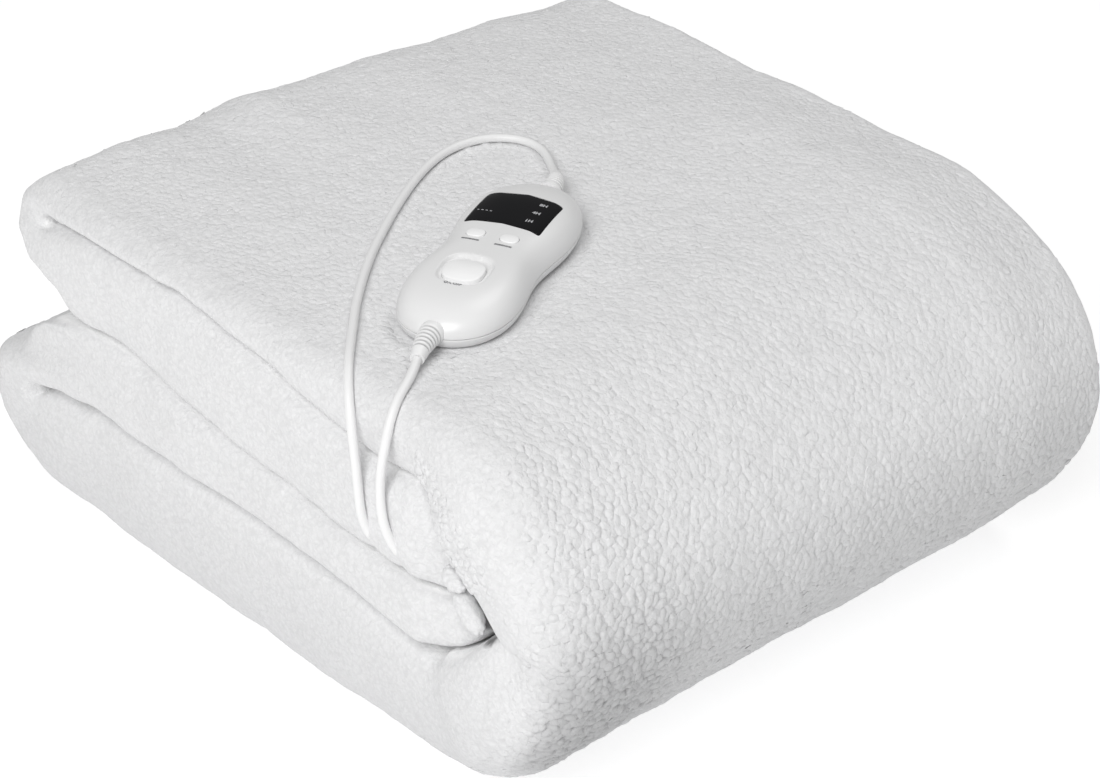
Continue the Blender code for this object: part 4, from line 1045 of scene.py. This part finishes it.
def clear_cord(moved, flat, path):
    """The pile gives way under a cord, a little beyond its radius, and rises beside it."""
    low, high = path.min(axis=0) - 0.01, path.max(axis=0) + 0.01
    near = np.flatnonzero(np.all((flat > low) & (flat < high), axis=1))

    def from_cord():
        distance, index = distance_to_path(moved[near], path)
        away = moved[near] - path[index]
        return distance, path[index], away / np.maximum(distance, 1e-9)[:, None]

    distance, _, away = from_cord()
    rise = 0.001 * np.exp(-((distance - 0.0046) / 0.0016) ** 2)
    moved[near] -= away * rise[:, None]
    distance, middle, away = from_cord()
    reach = 0.5 * CORD + 0.0002
    moved[near] = np.where((distance < reach)[:, None], middle + away * reach, moved[near])


# ---- Controller ----

PART_W, COVER_RISE, CROWN_POWERS = 0.0058, (0.0156, 0.0149), (4.8, 0.5)
#              u        v        half u   half v   power edge     crown    under    pocket
INLAYS = {
    "display_window": (0.028, 0.0, 0.0164, 0.0193, 20.0, 0.00015, 0.0, 0.0014, 0.0017),
    "button_left": (-0.0001, 0.0086, 0.0037, 0.0045, 2.4, 0.0006, 0.0004, 0.0014, 0.0026),
    "button_right": (-0.0001, -0.0086, 0.0037, 0.0045, 2.4, 0.0006, 0.0004, 0.0014, 0.0026),
    "power_button": (-0.0352, 0.0, 0.0089, 0.0097, 2.7, 0.0002, 0.001, 0.003, 0.0046),
}
WINDOW_BOW = 0.0034
DISH_MIDDLE, DISH_HALF, DISH_POWER, DISH_DEPTH = (-0.0334, 0.0), (0.0134, 0.0129), 3.0, 0.0019


def outline(count):
    """The controller's waisted outline, counter-clockwise from the head."""
    u = CONTROLLER_HALF * np.cos(np.linspace(0.0, pi, count // 2 + 1))
    v = controller_half_width(u)
    return np.concatenate([u, u[-2:0:-1]]), np.concatenate([v, -v[-2:0:-1]])


OUTLINE_U, OUTLINE_V = outline(720)
OUTLINE_ANGLE = np.arctan2(OUTLINE_V, OUTLINE_U) % (2.0 * pi)
OUTLINE_ORDER = np.argsort(OUTLINE_ANGLE)


def crown(u, v):
    """Height of the cover's surface over (u, v): full in the middle, upright at its outline."""
    reach = np.hypot(OUTLINE_U, OUTLINE_V)[OUTLINE_ORDER]
    limit = np.interp(np.arctan2(v, u) % (2.0 * pi), OUTLINE_ANGLE[OUTLINE_ORDER], reach,
                      period=2.0 * pi)
    share = np.clip(np.hypot(u, v) / limit, 0.0, 1.0)
    rise = blend(*COVER_RISE, 0.5 + 0.5 * u / CONTROLLER_HALF)
    return PART_W + rise * (1.0 - share ** CROWN_POWERS[0]) ** CROWN_POWERS[1]


def dish(u, v):
    """Depth of the recess round the power button: a superellipse with a soft rim."""
    reach = (np.abs((u - DISH_MIDDLE[0]) / DISH_HALF[0]) ** DISH_POWER
             + np.abs((v - DISH_MIDDLE[1]) / DISH_HALF[1]) ** DISH_POWER) ** (1.0 / DISH_POWER)
    return DISH_DEPTH * (1.0 - ramp(reach, 0.86, 1.01))


def placed(u, v, w):
    """Points of the controller's own frame, in the part's frame."""
    matrix = np.array(CONTROLLER_MATRIX)
    return np.stack([u, v, w], axis=-1) @ matrix[:3, :3].T + matrix[:3, 3]


def super_round(count, half_u, half_v, power):
    """A superellipse: an oval whose corners square up as the power grows."""
    angle = np.linspace(0.0, 2.0 * pi, count, endpoint=False)
    cosine, sine = np.cos(angle), np.sin(angle)
    return (half_u * np.sign(cosine) * np.abs(cosine) ** (2.0 / power),
            half_v * np.sign(sine) * np.abs(sine) ** (2.0 / power))


def inlay_outline(name, grow, count=120):
    """Outline of an inlay grown by a clearance; the window's long sides bow towards the head."""
    half_u, half_v, power = INLAYS[name][2:5]
    u, v = super_round(count, half_u + grow, half_v + grow, power)
    if name == "display_window":
        u = u + WINDOW_BOW * (0.5 - (v / (half_v + grow)) ** 2)
    return u, v


def cover_grid():
    """Rings of the outline that shrink inwards over the crown, less the power button's dish."""
    u, v = outline(360)
    turns = np.linspace(0.045, 0.5 * pi, 118)
    share = np.concatenate([[0.985, 0.997, 1.0], np.cos(turns) ** 0.62])
    share[-1] = 0.004
    ring_u, ring_v = share[:, None] * u, share[:, None] * v
    w = crown(ring_u, ring_v) - dish(ring_u, ring_v)
    w[0], w[1], w[2] = PART_W, PART_W + 0.00005, PART_W + 0.0003
    return ring_u, ring_v, w


def pocket(name, grow, depth, material):
    """A cutter with an inlay's outline, from an even depth under the crown to well over it."""
    middle = INLAYS[name][:2]
    u, v = inlay_outline(name, grow)
    rows = [(0.02, -depth), (0.5, -depth), (1.0, -depth), (1.0, 0.006), (0.02, 0.006)]
    ring_u = np.stack([middle[0] + share * u for share, _ in rows])
    ring_v = np.stack([middle[1] + share * v for share, _ in rows])
    w = crown(ring_u, ring_v) + np.array([height for _, height in rows])[:, None]
    return grid_piece("pocket_" + name, placed(ring_u, ring_v, w), material, caps=(0, -1))


def carve(piece, cutters):
    for cutter in cutters:
        step = piece.modifiers.new("carve", "BOOLEAN")
        step.operation, step.solver, step.object = "DIFFERENCE", "EXACT", cutter
    bpy.context.view_layer.update()
    apply_steps(piece)
    for cutter in cutters:
        bpy.data.objects.remove(cutter, do_unlink=True)
    piece.data.set_sharp_from_angle(angle=radians(35.0))


def build_cap(name, piece_name, body, slot, material):
    """A window or button: upright sides, a rounded upper edge and a crown over the cover's."""
    middle = INLAYS[name][:2]
    edge, extra, under = INLAYS[name][5:8]
    u, v = inlay_outline(name, CAP_GROW)
    small = min(INLAYS[name][2:4])
    round_off = min(0.00045, 0.8 * (edge + under))
    rows = [(0.04, -under, 0.0), (1.0, -under, 0.0)]
    for turned in np.linspace(0.0, 0.5 * pi, 7):
        rows.append((1.0 - round_off / small * (1.0 - cos(turned)),
                     edge - round_off * (1.0 - sin(turned)), extra))
    rows.extend((share, edge, extra) for share in (0.9, 0.8, 0.65, 0.5, 0.35, 0.2, 0.06))
    share, lift, swell = (np.array(column)[:, None] for column in zip(*rows))
    ring_u, ring_v = middle[0] + share * u, middle[1] + share * v
    w = crown(ring_u, ring_v) + lift + swell * (1.0 - share ** 2)
    return capped(piece_name, placed(ring_u, ring_v, w), material, slot, name, body=body, sharp=40)


# Window and buttons: inlay, piece, body, slot.
CAPS = (("display_window", "window", ROOT, "black_window"),
        ("button_left", "left_key", "left_button", "white_plastic"),
        ("button_right", "right_key", "right_button", "white_plastic"),
        ("power_button", "power_key", "power", "white_plastic"))
CAP_GROW = 0.00012
# Rings of the base, from its middle to the parting: share of its outline, and height.
BASE_RINGS = ((0.0, 0.0), (0.3, 0.0004), (0.6, 0.0014), (0.82, 0.0028), (0.95, 0.0042),
              (1.0, PART_W - 0.0008), (1.0, PART_W - 0.0005), (0.93, PART_W - 0.0003))
BASE_INSET = 0.0035


def build_controller():
    shell = moulded_finish("shell_white", (0.79, 0.79, 0.79), 0.3, 0.03)
    keys = moulded_finish("key_white", (0.92, 0.92, 0.92), 0.36, 0.02)
    black = moulded_finish("window_black", (0.009, 0.009, 0.01), 0.16, 0.0, drift=0.02,
                           Specular_IOR_Level=0.05)
    cover = grid_piece("cover", placed(*cover_grid()), shell, caps=(0, -1), sharp=35)
    carve(cover, [pocket(name, GAP, row[8], shell) for name, row in INLAYS.items()])
    settle_piece(cover, ROOT, "white_plastic", "controller_cover")

    u, v = outline(360)
    share, w = (np.array(column)[:, None] for column in zip(*BASE_RINGS))
    inset = BASE_INSET * (1.0 - share)
    points = placed(u * (1.0 - inset / CONTROLLER_HALF), v * (1.0 - inset / CONTROLLER_WIDE),
                    w * np.ones_like(u))
    capped("base", points, shell, "white_plastic", "controller_base", sharp=35)
    for cap in CAPS:
        build_cap(*cap, black if cap[1] == "window" else keys)
    for name, slot, marks, lift, ink, tone in MARKS:
        ink = moulded_finish(ink, tone, 0.6, 0.0)
        settle_piece(build_marks(name, marks, lift, ink), ROOT, slot)


# Printed marks: what each says, its middle in the controller's frame, its height, and how far it
# is spread along the line. Then each group's piece, slot, marks, lift over the crown, ink and colour.
WINDOW_MARKS = (("8H", 0.0376, -0.0111, 0.0024, 1.0), ("4H", 0.0288, -0.0108, 0.0024, 1.0),
                ("1H", 0.02, -0.0104, 0.0024, 1.0), ("- - - -", 0.0229, 0.0136, 0.0026, 1.0))
COVER_MARKS = (("ON/OFF", -0.0474, 0.0006, 0.0017, 1.0), ("=====", -0.0067, 0.0089, 0.0022, 1.0),
               ("=====", -0.0071, -0.008, 0.0024, 0.9))
MARKS = (("cover_marks", "white_plastic", COVER_MARKS, 0.00006, "print_grey", (0.22, 0.22, 0.23)),
         ("window_marks", "black_window", WINDOW_MARKS, 0.00024, "print_pale", (0.5, 0.5, 0.52)))


def build_marks(name, marks, lift, material):
    """Marks printed on the crown: flat letters, bent to lie just over it, read with the head up."""
    work = bmesh.new()
    for words, u, v, size, spread in marks:
        letters = bpy.data.curves.new(name, "FONT")
        letters.body, letters.size = words, 1.4 * size
        letters.align_x, letters.align_y = "CENTER", "CENTER"
        letters.extrude, letters.offset, letters.resolution_u = 0.00003, 0.00012, 3
        line = linked(name, letters)
        mesh = final_mesh(line)
        flat = np.empty(3 * len(mesh.vertices))
        mesh.vertices.foreach_get("co", flat)
        flat = flat.reshape(-1, 3)
        at_u, at_v = u + flat[:, 1], v - spread * flat[:, 0]
        w = crown(at_u, at_v) - dish(at_u, at_v) + lift + flat[:, 2]
        mesh.vertices.foreach_set("co", placed(at_u, at_v, w).ravel())
        work.from_mesh(mesh)
        bpy.data.meshes.remove(mesh)
        bpy.data.objects.remove(line, do_unlink=True)
    bmesh.ops.remove_doubles(work, verts=work.verts[:], dist=1e-7)
    joined = bpy.data.meshes.new(name)
    work.to_mesh(joined)
    work.free()
    return add_piece(name, joined, material)


# ---- Leads, coil and plug ----

def ring_points(places, sides, ups, reach, around=28, power=2.0):
    """Closed rings about places: a circle, or a superellipse of a power, spread along the side and
    up directions by each ring's reach."""
    places, sides, ups = (np.array(rows, float).reshape(-1, 1, 3) for rows in (places, sides, ups))
    reach = np.array(reach, float).reshape(len(reach), -1)
    ring_side, ring_up = super_round(around, 1.0, 1.0, power)
    return (places + sides * (reach[:, :1] * ring_side)[:, :, None]
            + ups * (reach[:, -1:] * ring_up)[:, :, None])


def build_relief(name, node_name, axes, material):
    """Ribbed relief: a tapering sleeve along its arc, with a narrow groove between its ribs, painted
    dark there as shade.
    """
    root, along, side, turned = axes
    up = along.cross(side).normalized()
    share = np.linspace(0.0, 1.0, 190)
    phase = (share - RIB_START) / RIB_PITCH
    groove = np.exp(-((phase % 1.0 - 0.5) / GROOVE_WIDTH) ** 2) * (phase > 0.0) * (phase < RIBS)
    radius = blend(*RELIEF_RADII, share) - GROOVE_DEPTH * blend(1.0, 0.6, share) * groove
    places, ways = zip(*(relief_arc(root, along, side, turned, s) for s in share))
    places, ways = [root - along * RELIEF_ROOT, *places], [along, *ways]
    points = ring_points(places, [up.cross(way) for way in ways], up, np.append(radius[:1], radius))
    # The groove values give the painted shade in the grooves.
    return capped(name, points, material, "white_cord", node_name,
                  values=np.repeat(np.append(0.0, groove), points.shape[1]))


def build_plug(material, metal):
    """Flat two-pin plug: a tapered neck, a body that widens to its face, and two round pins."""
    heading, side = level_ways(PLUG_HEADING)
    up = (0.0, 0.0, 1.0)
    share = np.linspace(0.0, 1.0, 40)
    ribs = (0.5 - 0.5 * np.cos(2.0 * pi * NECK_RIBS * share)) * (share > 0.0) * (share < 1.0)
    start = PLUG_PLACE - heading * (PLUG_RELIEF + GAP)
    neck = ring_points([start + heading * PLUG_RELIEF * s for s in share], side, up,
                       blend(*NECK_RADII, share) - NECK_RIB_DEPTH * ribs)

    share = np.concatenate([[0.0, 0.004, 0.015, 0.03, 0.05], np.linspace(0.08, 0.94, 30),
                            [0.96, 0.98, 0.993, 1.0]])
    near_end = np.clip(np.minimum(share, 1.0 - share) / 0.05, 0.0, 1.0)
    reach = np.stack([blend(*sizes, ramp(share, 0.0, PLUG_WIDENS))
                      for sizes in (PLUG_WIDE, PLUG_THICK)], axis=-1)
    reach *= np.minimum(1.0, 0.88 + 0.12 * np.sqrt(near_end))[:, None]
    body = ring_points([PLUG_PLACE + heading * (PLUG_LENGTH * s) for s in share], side, up, reach,
                       around=72, power=3.2)
    parts = [capped("plug_neck", neck, material, "white_cord", "plug_relief"),
             capped("plug_moulding", body, material, "white_cord", "plug_body")]

    share = np.concatenate([np.linspace(0.0, 0.88, 12), [0.93, 0.97, 0.99, 1.0]])
    tip = np.clip((share - 0.88) / 0.12, 0.0, 1.0)
    for number, sign in ((1, 1.0), (2, -1.0)):
        root = PLUG_PLACE + heading * (PLUG_LENGTH + GAP) + side * (PIN_APART * sign)
        pin = ring_points([root + heading * PIN_LENGTH * s for s in share], side, up,
                          PIN_RADIUS * np.sqrt(np.maximum(1.0 - tip ** 2, 0.01)))
        parts.append(capped(f"pin_{number}", pin, metal, "pin_metal", f"plug_pin_{number}"))
    return parts


def build_strap(material):
    """The coil's tie: a flat band carried round the coil's section, its corners rounded."""
    out, along = level_ways(STRAP_TURNED)
    up = Vector((0.0, 0.0, 1.0))
    low, high = COIL_LIFT - GAP, COIL_LIFT + 4.0 * CORD + GAP
    centre = Vector((*COIL_PLACE, 0.0)) + out * COIL_MIDDLE + up * (0.5 * (low + high))
    half = np.array([CORD + 0.0007, 0.5 * (high - low)])
    profile = ((0.0, -0.5), (0.0, 0.5), (STRAP_THICK, 0.5), (STRAP_THICK, -0.5), (0.0, -0.5))
    points = ring_points([centre + along * (STRAP_WIDE * shift) for _, shift in profile], out, up,
                         [half + grow for grow, _ in profile], around=96, power=9.0)
    piece = grid_piece("strap", points, material, sharp=40)
    turn_outwards(piece.data, merge=True)
    return settle_piece(piece, ROOT, "tie_strap", "coil_tie")


def build_leads(lead_path, mains_path):
    sheath = moulded_finish("sheath_white", (0.83, 0.83, 0.83), 0.4, 0.05)
    metal = moulded_finish("pin_metal", (0.62, 0.6, 0.56), 0.22, 0.0, Metallic=1.0)
    strap_cloth = moulded_finish("strap_cloth", (0.78, 0.78, 0.78), 0.9, 0.6, scale=1500.0)
    tail, head = relief_axes()
    ribbed = ribbed_finish()
    build_relief("relief_mains", "mains_relief", tail, ribbed)
    build_relief("relief_lead", "lead_relief", head, ribbed)
    points = ring_points(GLAND, (0.0, 1.0, 0.0), (0.0, 0.0, 1.0), (0.0029, 0.0033))
    gland = capped("gland", points, sheath, "white_cord", "lead_gland")
    lead = cord_piece("lead_sheath", lead_path, sheath)
    settle_piece(lead, ROOT, "white_cord", "blanket_lead")
    mains = cord_piece("mains_sheath", mains_path, sheath)
    settle_piece(mains, ROOT, "white_cord", "mains_lead", "mains_coil", "plug_tail")
    plug = build_plug(sheath, metal)
    strap = build_strap(strap_cloth)
    lengths = [round(float(norm(np.diff(path, axis=0), axis=1).sum()), 3)
               for path in (lead_path, mains_path)]


place_camera()
light_studio()
lead_path, mains_path = cord_paths()
build_leads(lead_path, mains_path)
build_controller()
build_fleece(lead_path, mains_path)
